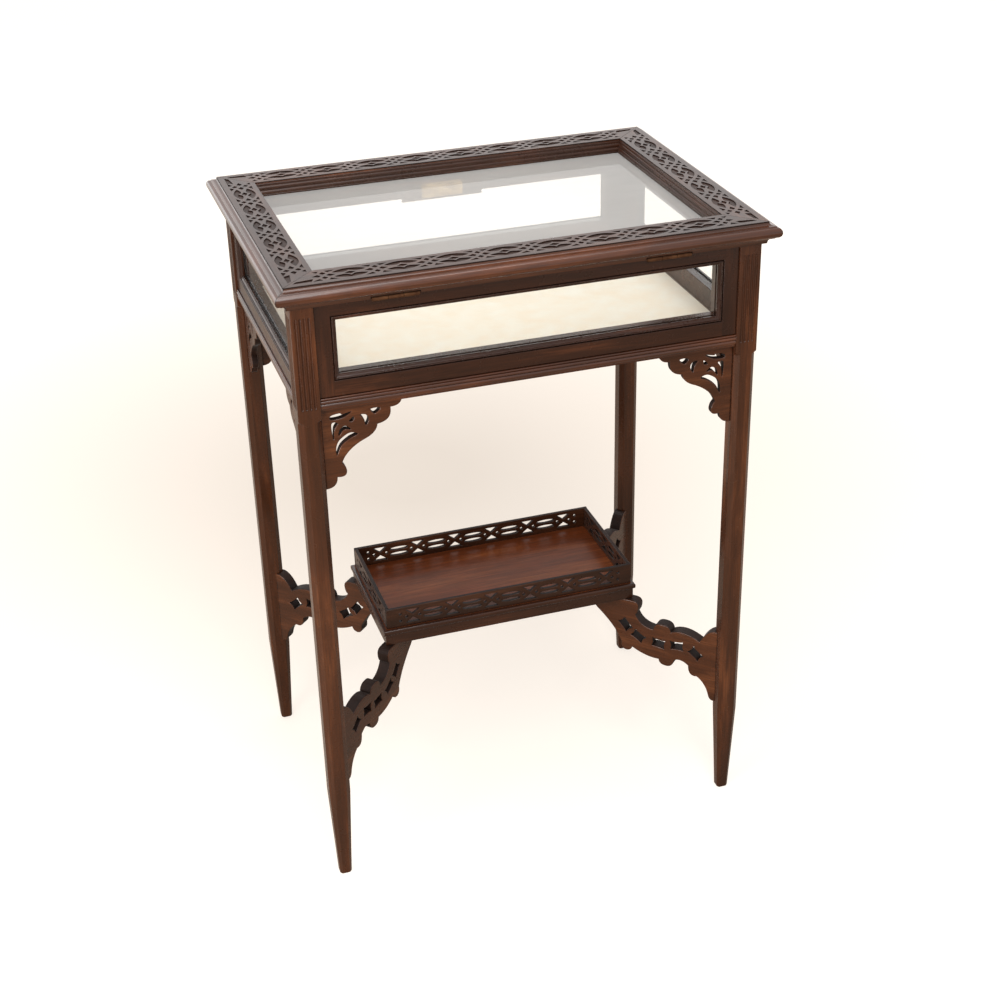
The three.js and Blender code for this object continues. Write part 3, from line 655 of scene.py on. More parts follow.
def curved_outline(start, curve_shares, width, height, steps=10):
    """Points along steps, each straight to its end or bent toward the point given before it."""
    at = Vector((start[0] * width, start[1] * height))
    points = [at]
    for *middle, end_x, end_y in curve_shares:
        end = Vector((end_x * width, end_y * height))
        if middle:
            control = Vector((middle[0] * width, middle[1] * height))
            for step in range(1, steps + 1):
                t = step / steps
                points.append(at * (1 - t) ** 2 + control * 2 * t * (1 - t) + end * t ** 2)
        else:
            points.append(end)
        at = end
    return points


def bevelled(work, edges, rounding):
    bmesh.ops.bevel(
        work, geom=edges, offset=rounding, segments=2, profile=0.5, affect="EDGES", clamp_overlap=True,
    )


def sharp_edges(work, degrees):
    least = radians(degrees)
    return [edge for edge in work.edges if edge.is_manifold and edge.calc_face_angle() > least]


def softened(node, rounding, *materials, cut_planes=()):
    """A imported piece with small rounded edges, cut along planes for joints in the wood."""
    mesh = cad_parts[node].data.copy()
    with reworked(mesh) as work:
        bmesh.ops.remove_doubles(work, verts=work.verts, dist=same_level)
        bmesh.ops.dissolve_limit(work, angle_limit=radians(1), verts=work.verts, edges=work.edges)
        bevelled(work, sharp_edges(work, 28), rounding)
        for point, normal in cut_planes:
            everything = [*work.verts, *work.edges, *work.faces]
            bmesh.ops.bisect_plane(work, geom=everything, plane_co=point, plane_no=normal)
    return covered(mesh, *materials)


def carve(thing, cutter):
    """Take a cutter out of a piece, then drop the cutter."""
    modifier = thing.modifiers.new("carve", "BOOLEAN")
    modifier.operation = "DIFFERENCE"
    modifier.solver = "EXACT"
    modifier.use_self = True
    modifier.object = cutter
    bpy.context.view_layer.update()
    graph = bpy.context.evaluated_depsgraph_get()
    carved = bpy.data.meshes.new_from_object(thing.evaluated_get(graph))
    thing.modifiers.clear()
    thing.data = shaded(carved)
    bpy.data.objects.remove(cutter)


# Legs

foot_inset_shares = ((0.7, 0.4, 0), (0.2, 0.8, 0.35))


def octagon(half, chamfer, height):
    inner = half - chamfer
    right = [(inner, -half), (half, -inner), (half, inner), (inner, half)]
    return [Vector((sign * x, sign * y, height)) for sign in (1, -1) for x, y in right]


def octagon_loft(rings):
    points = [point for ring_points in rings for point in ring_points]
    top = 8 * (len(rings) - 1)
    faces = [tuple(reversed(range(8))), tuple(range(top, top + 8))]
    for start in range(0, top, 8):
        faces += loop_faces(start + 8, start, 8)
    return mesh_from(points, faces, leg_wood["z"])


def leg_rings():
    foot_chamfer = leg_chamfer * (foot_width / leg_width)
    stop = astragal_bottom - chamfer_stop_drop
    rings = [
        octagon(foot_width / 2 - foot_round * inset, foot_chamfer * chamfer, foot_round * height)
        for inset, chamfer, height in foot_inset_shares
    ]
    return rings + [
        octagon(foot_width / 2, foot_chamfer, foot_round),
        octagon(leg_half, leg_chamfer, taper_height),
        octagon(leg_half, leg_chamfer, stop),
        octagon(leg_half, leg_arris, stop + (leg_chamfer - leg_arris) / sqrt(2)),
        octagon(leg_half, leg_arris, case_top),
    ]


def flutes():
    """Round-ended flutes on the -X and -Y faces of a leg at the origin."""
    radius = (flute_width ** 2 / 4 + flute_depth ** 2) / (2 * flute_depth)
    bottom = astragal_bottom + flute_bottom_margin + flute_width / 2
    top = case_top - flute_top_margin - flute_width / 2
    outside = leg_half + radius - flute_depth
    mesh = bpy.data.meshes.new("flutes")
    with reworked(mesh) as work:
        for index in range(flute_count):
            across = (index - (flute_count - 1) / 2) * flute_pitch
            for x, y in ((across, -outside), (-outside, across)):
                ball = bmesh.ops.create_uvsphere(work, u_segments=24, v_segments=12, radius=radius)["verts"]
                for vertex in ball:
                    vertex.co += Vector((x, y, top if vertex.co.z > same_point else bottom))
    return loose("flutes", mesh)


def build_legs():
    blank = octagon_loft(leg_rings())
    with reworked(blank) as work:
        bevelled(work, sharp_edges(work, 20), leg_edge_round)
    pattern = loose("leg_pattern", blank)
    carve(pattern, flutes())
    for turns, (name, (x, y)) in enumerate(corners.items()):
        mesh = pattern.data.copy()
        turn = Matrix.Rotation(turns * pi / 2, 4, "Z")
        mesh.transform(Matrix.Translation((x * leg_axis_x, y * leg_axis_y, 0)) @ turn)
        piece(f"fluted_leg_{name}", mesh, f"leg_{name}")
    bpy.data.objects.remove(pattern)


# Glazed sides. Shares of the bead's width and depth.

bead_shares = [
    [(0, 0.7)],
    [(0, 1)],
    [(1, 1)],
    [(1, 0.42)],
    [(0.86, 0.34)],
    [(0.84, 0.12), (0.74, 0.03), (0.64, 0.06), (0.6, 0.18)],
    [(0.56, 0.3), (0.36, 0.42), (0.18, 0.46), (0.12, 0.62)],
    [(0, 0.66), (0, 0.7)],
]


def sight_of(side):
    """Half the width of glass that shows."""
    return side.span - glue_line - stile_width - rebate_width


def build_side_frame(side):
    along = side.along
    joint = sight_of(side) + rebate_width
    planes = [(along * joint, along), (along * -joint, along)]
    woods = (frame_wood[side.grain], frame_wood["z"])
    mesh = softened(f"frame_{side.name}", frame_round, *woods, cut_planes=planes)
    for polygon in mesh.polygons:
        if abs(polygon.center.dot(along)) > joint:
            polygon.material_index = 1
    piece(f"side_frame_{side.name}", mesh, f"frame_{side.name}")


def build_side_bead(side):
    half_z = (opening_top - opening_bottom) / 2 - rebate_width
    section = profile(bead_shares, (0, 0), (rebate_width - glue_line, bead_depth - glue_line))[:-1]
    face = side.face - frame_setback
    middle = Vector((0, 0, (opening_top + opening_bottom) / 2))
    mesh = ring(
        section, sight_of(side), half_z,
        lambda point: stood(side.along, middle, (point[0], point[1], face - point[2])),
        frame_wood[side.grain], frame_wood["z"],
    )
    piece(f"glazing_bead_{side.name}", mesh, f"glass_bead_{side.name}")


# Moulded rails. Shares of the projection outward and of the height down from the top.

astragal_shares = [
    [(0, 0.02)],
    [(0.5, 0.03)],
    [(0.64, 0.05), (0.7, 0.1), (0.6, 0.15)],
    [(0.2, 0.17)],
    [(0.5, 0.19), (0.86, 0.23), (1, 0.31), (0.94, 0.38), (0.7, 0.42)],
    [(0.1, 0.44)],
    [(0.4, 0.47), (0.72, 0.55), (0.8, 0.66), (0.66, 0.77), (0.36, 0.82)],
    [(0, 0.84)],
    [(0, 1)],
]


def build_astragal(side):
    half = side.span - glue_line
    top = frame_bottom - glue_line
    face = side.face - frame_setback
    section = [(face - frame_thickness, astragal_bottom), (face - frame_thickness, top)]
    section += profile(astragal_shares, (face, top), (astragal_projection, astragal_bottom - top))
    mesh = moulding(section, side.along, lambda out: half, 0, moulding_wood[side.grain])
    piece(f"moulded_rail_{side.name}", mesh, f"astragal_{side.name}")


# Spandrels. Shares of the width from the leg, and of the drop below the moulded rail.

spandrel_curve_shares = [
    (1, 0),
    (0.99, 0.095, 0.855, 0.095),
    (0.875, 0.26, 0.683, 0.28),
    (0.67, 0.39, 0.498, 0.448),
    (0.28, 0.543, 0.22, 0.696),
    (0.267, 0.739, 0.272, 0.803),
    (0.273, 0.888, 0.151, 0.867),
    (0.147, 0.998, 0, 1),
]
spandrel_hole_shares = [
    [(0.61, 0.084), (0.723, 0.084), (0.658, 0.144)],
    [(0.478, 0.132), (0.545, 0.142), (0.575, 0.2), (0.54, 0.268), (0.525, 0.2), (0.5, 0.158)],
    [(0.34, 0.188), (0.395, 0.142), (0.385, 0.19)],
    [(0.12, 0.14), (0.12, 0.096), (0.227, 0.078), (0.256, 0.096), (0.37, 0.076), (0.262, 0.132)],
    [(0.122, 0.196), (0.195, 0.196), (0.15, 0.262), (0.134, 0.383)],
    [(0.2, 0.35), (0.215, 0.285), (0.265, 0.245), (0.305, 0.25), (0.35, 0.29), (0.29, 0.278), (0.245, 0.3)],
    [(0.161, 0.585), (0.165, 0.48), (0.215, 0.4), (0.335, 0.335), (0.43, 0.362), (0.33, 0.402), (0.22, 0.48)],
]


def build_spandrels(side):
    face = side.face - spandrel_setback - spandrel_thickness / 2
    origin = Vector((0, 0, astragal_bottom - glue_line))
    for end, mirror in zip(side.ends, (1, -1)):
        start = -mirror * (side.span - glue_line)
        width = mirror * spandrel_width
        outline = curved_outline((0, 0), spandrel_curve_shares, width, -spandrel_drop)
        openings = [
            smooth_loop([(across * width, -down * spandrel_drop) for across, down in shares])
            for shares in spandrel_hole_shares
        ]
        mesh = board(
            outline, openings, spandrel_thickness, spandrel_round,
            lambda point: stood(side.along, origin, (start + point[0], point[1], face + point[2])),
            leg_wood[side.grain], shaded_edge_wood[side.grain],
        )
        node = f"spandrel_{side.name}_{end}"
        piece(f"carved_{node}", mesh, node)


# Stretcher brackets. Shares of the reach from the leg's axis, and of the drop below the tray.

tray_corner_share = 0.696
stretcher_reach = tray_inset * sqrt(2) / tray_corner_share
stretcher_curve_shares = [
    (0.689, 0),
    (0.639, 0, 0.64, 0.068),
    (0.642, 0.136, 0.662, 0.158),
    (0.628, 0.288, 0.525, 0.293),
    (0.519, 0.205, 0.461, 0.207),
    (0.403, 0.205, 0.396, 0.278),
    (0.307, 0.2, 0.184, 0.309),
    (0.139, 0.161, 0.082, 0.141),
    (0.03, 0.141),
    (0.03, 1),
    (0.077, 1),
    (0.103, 0.996, 0.111, 0.932),
    (0.133, 0.805, 0.196, 0.745),
    (0.261, 0.771, 0.263, 0.635),
    (0.324, 0.565, 0.367, 0.615),
    (0.375, 0.708, 0.425, 0.709),
    (0.478, 0.709, 0.481, 0.646),
    (0.581, 0.657, 0.681, 0.573),
    (0.689, 0.627, 0.725, 0.629),
    (0.767, 0.623, 0.761, 0.531),
    (0.812, 0.355, 0.948, 0.182),
    (1, 0.102, 1, 0),
]
# Each spool's place, and its tilt as a share of a half turn
spool_place_shares = [
    (0.733, 0.31, 0.28),
    (0.636, 0.42, 0.18),
    (0.486, 0.449, 0.03),
    (0.35, 0.424, -0.03),
    (0.211, 0.466, 0.22),
]
spool_shares = [
    (-1, -0.94), (-0.6, -0.8), (0.6, -0.8), (1, -0.94), (0.84, 0),
    (1, 0.94), (0.6, 0.8), (-0.6, 0.8), (-1, 0.94), (-0.84, 0),
]


def spool(along_share, down_share, tilt_share):
    tilt = tilt_share * pi
    made = []
    for across, up in spool_shares:
        x = across * spool_half_length
        z = up * spool_half_height
        made.append((
            along_share * stretcher_reach + x * cos(tilt) - z * sin(tilt),
            -down_share * stretcher_drop + x * sin(tilt) + z * cos(tilt),
        ))
    return made


def leg_space(x, y):
    """The room that a leg takes out of its stretcher."""
    ends = (tray_frame_bottom - 2 * stretcher_drop, tray_floor)
    rings = [octagon(leg_half + glue_line, leg_chamfer, height) for height in ends]
    space = loose("leg_space", octagon_loft(rings))
    space.data.transform(Matrix.Translation((x * leg_axis_x, y * leg_axis_y, 0)))
    return space


def build_stretchers():
    for name, (x, y) in corners.items():
        along = Vector((-x, -y, 0)).normalized()
        origin = Vector((x * leg_axis_x, y * leg_axis_y, tray_frame_bottom - glue_line))
        outline = curved_outline((1, 0), stretcher_curve_shares, stretcher_reach, -stretcher_drop)
        grain = "rising" if x * y > 0 else "falling"
        openings = [spool(*place) for place in spool_place_shares]
        mesh = board(
            outline, openings, stretcher_thickness, stretcher_round,
            lambda point: stood(along, origin, tuple(point)), leg_wood[grain], shaded_edge_wood[grain],
        )
        thing = piece(f"carved_stretcher_{name}", mesh, f"stretcher_{name}")
        carve(thing, leg_space(x, y))


# Tray and its gallery

upright_slope = 0.9
end_slope = 0.7


def dot(x, z):
    return [
        (x + dot_radius * cos(step * pi / 8), z + dot_radius * sin(step * pi / 8))
        for step in range(16)
    ]


def triangle(x, z, up):
    high = gallery_height / 2 - gallery_rail
    return [
        (x - cluster_half_width, z + up * high),
        (x, z + up * cluster_waist),
        (x + cluster_half_width, z + up * high),
    ]


def lens(x, z, half_span):
    reach = half_span - lens_start
    upper = [(-cos(step * pi / 8), sin(step * pi / 8)) for step in range(8)]
    around = [*upper, *[(-across, -up) for across, up in upper]]
    return [(x + across * reach, z + up * lens_half_height) for across, up in around]


def gallery_openings(pattern_half):
    middle = gallery_height / 2
    last = pattern_half - gallery_end_margin
    spaces = max(1, round(2 * last / gallery_pitch))
    half_span = last / spaces
    openings = []
    for index in range(spaces + 1):
        x = 2 * index * half_span - last
        openings += [triangle(x, middle, 1), triangle(x, middle, -1)]
        openings += [dot(x - dot_spread, middle), dot(x + dot_spread, middle)]
    for index in range(spaces):
        x = (2 * index + 1) * half_span - last
        openings += [lens(x, middle + lens_rise, half_span), lens(x, middle - lens_rise, half_span)]
    for end in (-1, 1):
        x = end * (last + end_dot_reach)
        openings += [dot(x, middle + end_dot_rise), dot(x, middle - end_dot_rise)]
    return openings


def build_gallery(side):
    """The long sides run past the short ones at the corners."""
    is_long = side.grain == "x"
    face = (tray_half_y if is_long else tray_half_x) - gallery_inset - gallery_thickness / 2
    pattern_half = (tray_half_x if is_long else tray_half_y) - gallery_inset
    half = pattern_half - (0 if is_long else gallery_thickness + glue_line)
    outline = [(-half, 0), (half, 0), (half, gallery_height), (-half, gallery_height)]
    origin = Vector((0, 0, tray_floor))
    mesh = board(
        outline, gallery_openings(pattern_half), gallery_thickness, gallery_round,
        lambda point: stood(side.along, origin, (point[0], point[1], face + point[2])),
        fret_wood[side.grain], shaded_edge_wood[side.grain],
    )
    piece(f"pierced_gallery_{side.name}", mesh, f"gallery_{side.name}")


def at_level(face_middle, normal, height):
    return abs(normal.z) > upright_slope and abs(face_middle.z - height) < same_level


def leave_margin(mesh, height, width):
    """The second material on all but the middle of the face at a height."""
    with reworked(mesh) as work:
        top = [face for face in work.faces if at_level(face.calc_center_median(), face.normal, height)]
        bmesh.ops.inset_region(work, faces=top, thickness=width)
        for face in work.faces:
            face.material_index = 0 if face in top else 1


def build_tray():
    half_x = tray_half_x + tray_board_projection
    half_y = tray_half_y + tray_board_projection
    outline = [(x * half_x, y * half_y) for x, y in corners.values()]
    middle = Vector((0, 0, (tray_board_bottom + tray_floor) / 2))
    mesh = board(
        outline, [], tray_board_thickness, tray_board_round, lambda point: middle + Vector(point),
        tray_wood["x"], frame_wood["x"],
    )
    leave_margin(mesh, tray_floor, gallery_inset + tray_board_projection - tray_board_round)
    piece("tray_top", mesh, "tray_board", slot="tray_mahogany")
    mesh = softened("tray_frame", tray_frame_round, frame_wood["x"], frame_wood["y"])
    for polygon in mesh.polygons:
        if abs(polygon.normal.x) > end_slope:
            polygon.material_index = 1
    piece("tray_bearers", mesh, "tray_frame")


# Case floor and its cloth

lining_waves = (17, 9, 13)
lining_edge_fade = 12


def lining_height(across, down):
    """How far the cloth waves, from -1 to 1 and less beside its edges."""
    first, second, third = lining_waves
    edge = min(across, 1 - across, down, 1 - down)
    wave = sin(across * first + sin(down * second)) * sin(down * third + 1)
    return wave * min(1, edge * lining_edge_fade)


def lining_cut(work, low, high):
    """The cloth's grid of faces over its whole size."""
    columns = round((high.x - low.x) / lining_cut_step)
    rows = round((high.y - low.y) / lining_cut_step)
    grid = []
    for row in range(rows + 1):
        line = []
        for column in range(columns + 1):
            across = column / columns
            down = row / rows
            line.append(work.verts.new((
                low.x + across * (high.x - low.x),
                low.y + down * (high.y - low.y),
                high.z - lining_wave + lining_height(across, down) * lining_wave,
            )))
        grid.append(line)
    for near, far in zip(grid, grid[1:]):
        for column in range(columns):
            work.faces.new((near[column], near[column + 1], far[column + 1], far[column]))


def build_case_floor():
    mesh = softened("base_board", floor_round, frame_wood["x"])
    piece("case_floor", mesh, "base_board")
    low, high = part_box("lining_panel")
    mesh = bpy.data.meshes.new("case_lining")
    with reworked(mesh) as work:
        lining_cut(work, low, high)
        edges = [edge for edge in work.edges if edge.is_boundary]
        for item in bmesh.ops.extrude_edge_only(work, edges=edges)["geom"]:
            if isinstance(item, bmesh.types.BMVert):
                item.co.z = low.z
        bmesh.ops.edgeloop_fill(work, edges=[edge for edge in work.edges if edge.is_boundary])
        bmesh.ops.recalc_face_normals(work, faces=work.faces)
    lining = piece("case_lining", covered(mesh, cloth), "lining_panel", slot="cream_cloth")


# Lid. Shares of the nosing's width past the flat and of the lid's thickness down from the top.

nosing_shares = [
    [(0.1, 0.048)],
    [(0.1, 0.075)],
    [(0.13, 0.115), (0.22, 0.145), (0.38, 0.165), (0.56, 0.175)],
    [(0.6, 0.22)],
    [(0.82, 0.255), (0.96, 0.345), (1, 0.46), (0.94, 0.575), (0.78, 0.66), (0.56, 0.69)],
    [(0.5, 0.735)],
    [(0.26, 0.765), (0.1, 0.83), (0.02, 0.93)],
]
# Shares of the inner moulding's width inside the flat and of its depth down to the glass
inner_shares = [
    [(1, 1)],
    [(1, 0.93)],
    [(0.9, 0.9)],
    [(0.94, 0.8), (0.86, 0.7), (0.68, 0.64), (0.56, 0.66)],
    [(0.5, 0.58)],
    [(0.54, 0.5), (0.46, 0.4), (0.3, 0.34), (0.18, 0.36)],
    [(0.12, 0.27)],
    [(0.1, 0.2), (0, 0.17)],
]


def lid_section():
    flat = table_height - fret_depth
    inner = profile(inner_shares, (0, table_height), (-inner_moulding_width, -lid_glass_depth))
    nosing = profile(nosing_shares, (lid_flat_width, table_height), (lid_nosing, -lid_thickness))
    return [
        *inner, (0, flat), (lid_flat_width, flat), *nosing,
        (lid_flat_width + lid_nosing - lid_underside_inset, lid_bottom),
        (lid_rebate_width, lid_bottom), (lid_rebate_width, lid_rebate_top),
    ]


def build_lid_rail(side):
    is_long = side.grain == "x"
    half_run = lid_opening_x if is_long else lid_opening_y
    inset = lid_opening_y if is_long else lid_opening_x
    woods = (moulding_wood[side.grain], shaded_ground_wood[side.grain], fret_wood[side.grain])
    mesh = moulding(lid_section(), side.along, lambda out: half_run + out - glue_line / 2, inset, *woods)
    for polygon in mesh.polygons:
        # The flat under the fret plate shows only in its pockets, and takes the darker ground wood as painted
        # shade.
        if at_level(polygon.center, polygon.normal, table_height - fret_depth):
            polygon.material_index = 1
        elif outside_of(side.along).dot(polygon.center) < inset:
            polygon.material_index = 2
    thing = piece(f"lid_moulding_{side.name}", mesh, f"lid_rail_{side.name}", "lid")
    if is_long:
        carve(thing, lid_recess(side.name))
    build_fret(side, half_run, inset)


def box_around(work, low, high):
    for vertex in bmesh.ops.create_cube(work, size=1)["verts"]:
        vertex.co = Vector(low[axis] if vertex.co[axis] < 0 else high[axis] for axis in range(3))


def lid_recess(side_name):
    """Recesses for the hinges in the near rail, or for the strike plate in the far one."""
    gap = Vector((1, 1, 1)) * recess_clearance
    reach = Vector((1, 2, 2)) * recess_clearance
    below = lid_bottom - cut_overrun
    mesh = bpy.data.meshes.new("lid_recess")
    with reworked(mesh) as work:
        for end in ("left", "right") if side_name == "near" else ():
            low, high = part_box(f"hinge_lid_leaf_{end}")
            box_around(work, low - gap, Vector((high.x, high.y, lid_bottom + hinge_leaf_thickness)) + gap)
            pin_low, pin_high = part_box(f"hinge_pin_{end}")
            barrel_high = Vector((pin_high.x, low.y + hinge_barrel_width, high.z))
            box_around(work, Vector((pin_low.x, low.y, below)) - reach, barrel_high + reach)
        if side_name == "far":
            low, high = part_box("lock_strike")
            box_around(work, Vector((low.x, low.y, below)) - gap, high + gap)
    return loose("lid_recess", mesh)


# Pockets of the blind fret, as [along, across] from the middle of a cluster or of the space between two

diamond_shares = [(-1, 0), (0, -1), (1, 0), (0, 1)]
pocket_tail = (3.3 * mm, 6.2 * mm, 12 * mm)
pocket_half = 3 * mm
pocket_waist_share = 0.38
cross_near = 3.2 * mm
cross_far = 9.2 * mm
band_half = 12.5 * mm
corner_start = 3.5 * mm
corner_end = 13.5 * mm
corner_point = (6 * mm, 8.5 * mm)
lozenge_half = (5.4 * mm, 3 * mm)
crescent_tip = (17.3 * mm, 6 * mm)
crescent_top = 11.8 * mm
crescent_lobe = (6.6 * mm, 3.2 * mm)
crescent_cusp = 7.9 * mm
lobe_power = 1.6
cusp_power = 1.7
# The tapering pocket in each corner, as [past the last cluster, in from the band's edge]
sliver = ((15.1 * mm, 0.4 * mm), (36 * mm, 0.4 * mm), (31 * mm, 4.2 * mm), (12.6 * mm, 6.6 * mm))


def diamond(x, y, half_x, half_y):
    return [(x + along * half_x, y + across * half_y) for along, across in diamond_shares]


def cluster_pockets(at):
    made = []
    tail_start, tail_wide, tail_end = pocket_tail
    waist = pocket_half * pocket_waist_share
    for end in (-1, 1):
        made.append([(at + end * along, across) for along, across in (
            (tail_start, 0), (tail_wide, pocket_half), ((tail_wide + tail_end) / 2, waist),
            (tail_end, 0), ((tail_wide + tail_end) / 2, -waist), (tail_wide, -pocket_half),
        )])
        half = (cross_far - cross_near) / 2
        made.append(diamond(at, end * (cross_near + cross_far) / 2, half, half))
        for up in (-1, 1):
            made.append([
                (at + end * corner_start, up * band_half), (at + end * corner_end, up * band_half),
                (at + end * corner_point[0], up * corner_point[1]),
            ])
    return made


def crescent(at, up, steps=8):
    """A pocket with a smooth outer arc and a brace-shaped inner edge."""
    tip_x, tip_y = crescent_tip
    lobe_x, lobe_y = crescent_lobe
    shares = [step / steps for step in range(-steps, steps + 1)]
    outer = [(share * tip_x, crescent_top - (crescent_top - tip_y) * share ** 2) for share in shares]
    lobe = [
        (lobe_x + (tip_x - lobe_x) * (1 - share), lobe_y + (tip_y - lobe_y) * (1 - share) ** lobe_power)
        for share in shares[steps + 1:]
    ]
    cusp = [
        (lobe_x * (1 - share), lobe_y + (crescent_cusp - lobe_y) * share ** cusp_power)
        for share in shares[steps + 1:]
    ]
    mirrored = [(-x, y) for x, y in reversed(lobe + cusp[:-1])]
    return [(at + x, up * y) for x, y in outer + lobe + cusp + mirrored]


def fret_openings(half_run):
    """All pockets of one side, with a tapering one in each corner."""
    middle_reach = half_run + lid_flat_width / 2
    last = middle_reach - fret_end_margin
    spaces = round(2 * last / fret_pitch)
    pitch = 2 * last / spaces
    openings = []
    for index in range(spaces + 1):
        openings += cluster_pockets(index * pitch - last)
    for index in range(spaces):
        at = (index + 0.5) * pitch - last
        openings += [diamond(at, 0, *lozenge_half), crescent(at, 1), crescent(at, -1)]
    for sign in (-1, 1):
        openings.append([(sign * (last + past), band_half - down) for past, down in sliver])
    return [
        [clear_of_mitre(x, across, middle_reach) for x, across in widened(opening)] for opening in openings
    ]


def widened(points):
    """An outline moved outward a little, so that the straps beside it get narrower."""
    around = wound(points, True)
    made = []
    for before, at, after in zip([around[-1], *around[:-1]], around, [*around[1:], around[0]]):
        travel = (Vector(at) - Vector(before)).normalized() + (Vector(after) - Vector(at)).normalized()
        side = Vector((travel.y, -travel.x)).normalized() if travel.length > 0 else Vector((0, 0))
        made.append(tuple(Vector(at) + side * fret_widening))
    return made


def clear_of_mitre(x, across, middle_reach):
    limit = middle_reach + across - mitre_margin
    return max(-limit, min(limit, x)), across


def build_fret(side, half_run, inset):
    outer = lid_flat_width + fret_overlap_share * lid_nosing
    gap = glue_line / 2
    centre = inset + lid_flat_width / 2
    low = -lid_flat_width / 2
    high = outer - lid_flat_width / 2
    outline = [
        (-half_run + gap, low), (half_run - gap, low),
        (half_run + outer - gap, high), (-half_run - outer + gap, high),
    ]
    middle = table_height - fret_depth / 2
    mesh = board(
        outline, fret_openings(half_run), fret_depth, fret_round,
        lambda point: stood(side.along, Vector(), (point[0], middle - point[2], centre + point[1])),
        fret_wood[side.grain], shaded_edge_wood[side.grain],
    )
    piece(f"blind_fret_{side.name}", mesh, f"lid_rail_{side.name}", "lid")


def build_lid_bead():
    outer = lid_rebate_width - glue_line
    top = lid_bottom + lid_bead_height
    inner = -inner_moulding_width
    section = [(outer, lid_bottom), (outer, top), (inner, top)]
    for step in range(7):
        angle = step * pi / 12
        out = inner + lid_bead_round * (1 - cos(angle))
        section.append((out, lid_bottom + lid_bead_round * (1 - sin(angle))))
    mesh = ring(section, lid_opening_x, lid_opening_y, Vector, frame_wood["x"], frame_wood["y"])
    piece("lid_glass_fillet", mesh, "lid_glass_bead", "lid")


# Lock and hinges

lock_pieces = [
    ("lock_rail_block", "lock_block", lock_block_round, frame_wood["x"], "table", "mahogany"),
    ("lock_body", "lock_case", lock_plate_round, brass, "table", "brass"),
    ("lock_tongue", "lock_bolt", bolt_round, steel, "bolt", "steel"),
    ("lid_strike", "lock_strike", lock_plate_round, brass, "lid", "brass"),
    ("keyhole_plate", "escutcheon", escutcheon_round, brass, "table", "brass"),
]


def build_lock_and_hinges():
    for name, node, rounding, material, body, slot in lock_pieces:
        piece(name, softened(node, rounding, material), node, body, slot)
    for end in ("left", "right"):
        for part, body in (("case", "table"), ("lid", "lid")):
            node = f"hinge_{part}_leaf_{end}"
            piece(f"butt_{part}_{end}", softened(node, hinge_leaf_round, old_brass), node, body, "brass")
        node = f"hinge_pin_{end}"
        piece(f"butt_pin_{end}", softened(node, hinge_pin_round, old_brass), node, slot="steel")


# Building everything

build_legs()
build_stretchers()
for each_side in sides:
    build_side_frame(each_side)
    build_side_bead(each_side)
    build_astragal(each_side)
    build_spandrels(each_side)
    build_gallery(each_side)
    build_lid_rail(each_side)
    covered(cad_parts[f"glass_{each_side.name}"].data, side_glass)
build_lid_bead()
build_tray()
build_case_floor()
build_lock_and_hinges()
covered(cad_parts["lid_glass"].data, top_glass)
for thing in pieces:
    # The large faces set the shading, so that flats stay flat beside small roundings
    thing.modifiers.new("weighted", "WEIGHTED_NORMAL").keep_sharp = True


# Floor and background

floor_half = 9
shade_middle = (0.1, 0.8, 0)
shadow_zone = (0.1, 1.3)
mirror_zone = (1.8, 3.4)
floor_glow = (0.4, 0.95)
sky_strength = 0.3


def floor_material():
    """Matt paper with a glow for the rays that show it, weaker round a point behind the table: a painted
    shadow.
    """
    material, tree = new_material("floor")
    path = tree.add("LightPath", "Is Camera Ray").node.outputs
    place = tree.place()
    behind = tree.rise(tree.distance(place, shade_middle), *shadow_zone, *floor_glow)
    seen = tree.product(tree.largest(path["Is Camera Ray"], path["Is Transmission Ray"]), behind)
    # Glossy rays meet the glow only far from the table, so the nearby floor shows darker in reflections: a
    # painted darkening of reflections.
    away = tree.rise(tree.distance(place, (0, 0, 0)), *mirror_zone, 0, floor_glow[1])
    mirrored = tree.product(path["Is Glossy Ray"], away)
    paper = tree.add("BsdfDiffuse", "BSDF", {"Color": srgb(190, 175, 159)})
    glow = {"Color": srgb(255, 251, 246), "Strength": tree.largest(seen, mirrored)}
    tree.show(tree.add("AddShader", "Shader", {0: paper, 1: tree.add("Emission", "Emission", glow)}))
    return material


def build_floor():
    points = [(x * floor_half, y * floor_half, 0) for x, y in corners.values()]
    mesh = mesh_from(points, [(0, 1, 2, 3)], floor_material())
    loose("studio_floor", mesh)


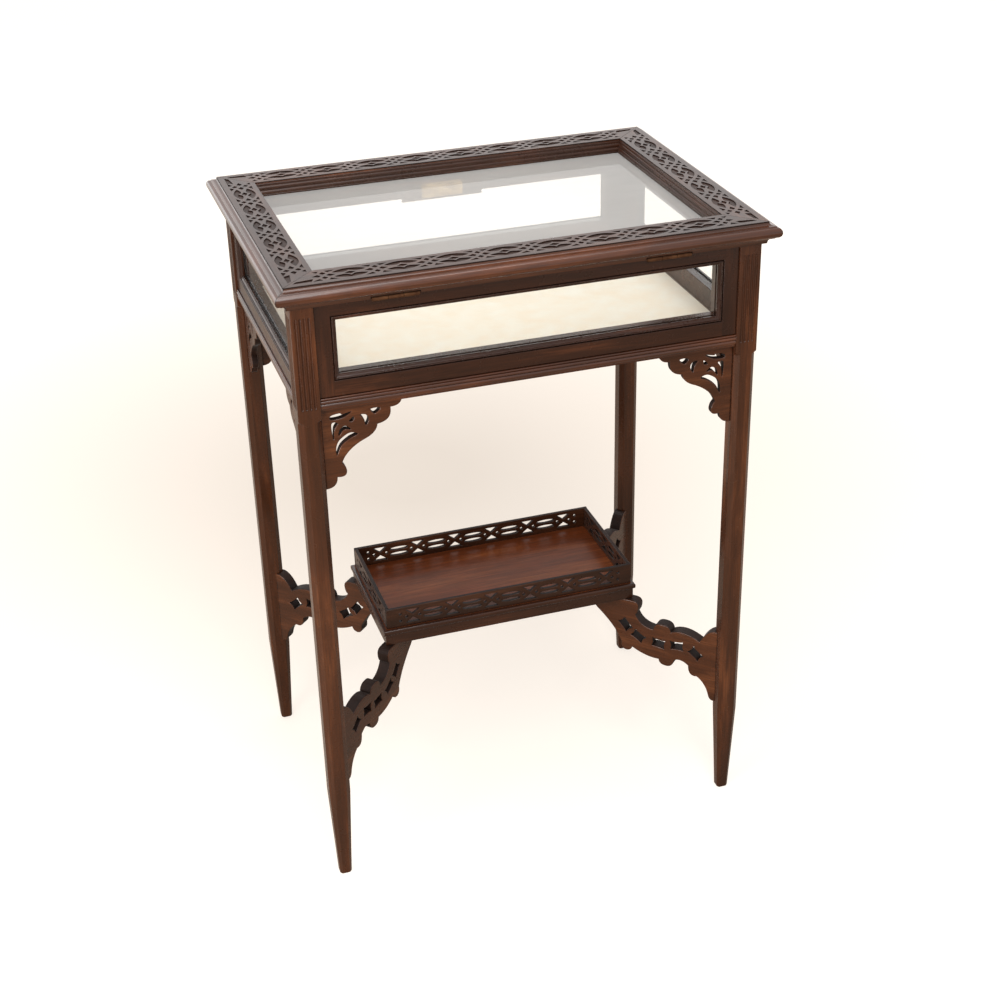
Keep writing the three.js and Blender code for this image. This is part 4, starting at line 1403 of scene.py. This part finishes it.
def build_world():
    world = bpy.data.worlds.new("studio")
    bpy.context.scene.world = world
    tree = Shades(world)
    tree.nodes.clear()
    path = tree.add("LightPath", "Is Camera Ray").node.outputs
    shows = tree.largest(path["Is Camera Ray"], path["Is Glossy Ray"], path["Is Transmission Ray"])
    soft = tree.add("Background", "Background", {"Color": srgb(255, 252, 248), "Strength": sky_strength})
    white = tree.add("Background", "Background", {"Color": grey(1), "Strength": 1})
    output = tree.nodes.new("ShaderNodeOutputWorld")
    tree.feed(output, {"Surface": tree.blend(shows, soft, white)})


# Lamps: place, width, height and brightness, where 1 is white

case_middle = (0, 0, 0.6)
lamps = {
    "key_light": ((-0.15, -1.65, 2.45), 0.8, 2, 6.2),
    "top_light": ((-0.2, 0.2, 2.8), 1.8, 1.8, 3.5),
    "left_light": ((-1.1, -0.8, 0.6), 0.6, 0.6, 8.5),
    "back_light": ((0.8, 2.05, 1.5), 2.1, 1.2, 0.55),
    "rim_light": ((-1.17, 2.2, 1), 0.5, 0.9, 1.2),
}


def softbox(name, place, width, height, brightness):
    """A rectangular lamp of even brightness, turned to the middle of the case."""
    lamp = bpy.data.lights.new(name, "AREA")
    lamp.shape = "RECTANGLE"
    lamp.size = width
    lamp.size_y = height
    lamp.energy = brightness * pi * width * height
    thing = loose(name, lamp)
    thing.location = place
    thing.rotation_euler = (Vector(case_middle) - Vector(place)).to_track_quat("-Z", "Y").to_euler()
    thing.visible_camera = False


# Camera

camera_place = Vector((-0.550289, -1.792181, 1.397965))
camera_yaw = 0.305
camera_pitch = 0.500
camera_roll = -0.025
camera_lens = 62.70
sensor_width = 36


def build_camera():
    lens_data = bpy.data.cameras.new("camera")
    lens_data.lens = camera_lens
    lens_data.sensor_width = sensor_width
    camera = loose("camera", lens_data)
    turns = ((-camera_yaw, "Z"), (pi / 2 - camera_pitch, "X"), (camera_roll, "Z"))
    placed = Matrix.Translation(camera_place)
    for angle, axis in turns:
        placed @= Matrix.Rotation(angle, 4, axis)
    camera.matrix_world = placed
    bpy.context.scene.camera = camera


build_floor()
build_world()
build_camera()
for lamp_name, lamp_values in lamps.items():
    softbox(lamp_name, *lamp_values)

bpy.context.scene.view_settings.view_transform = "Standard"
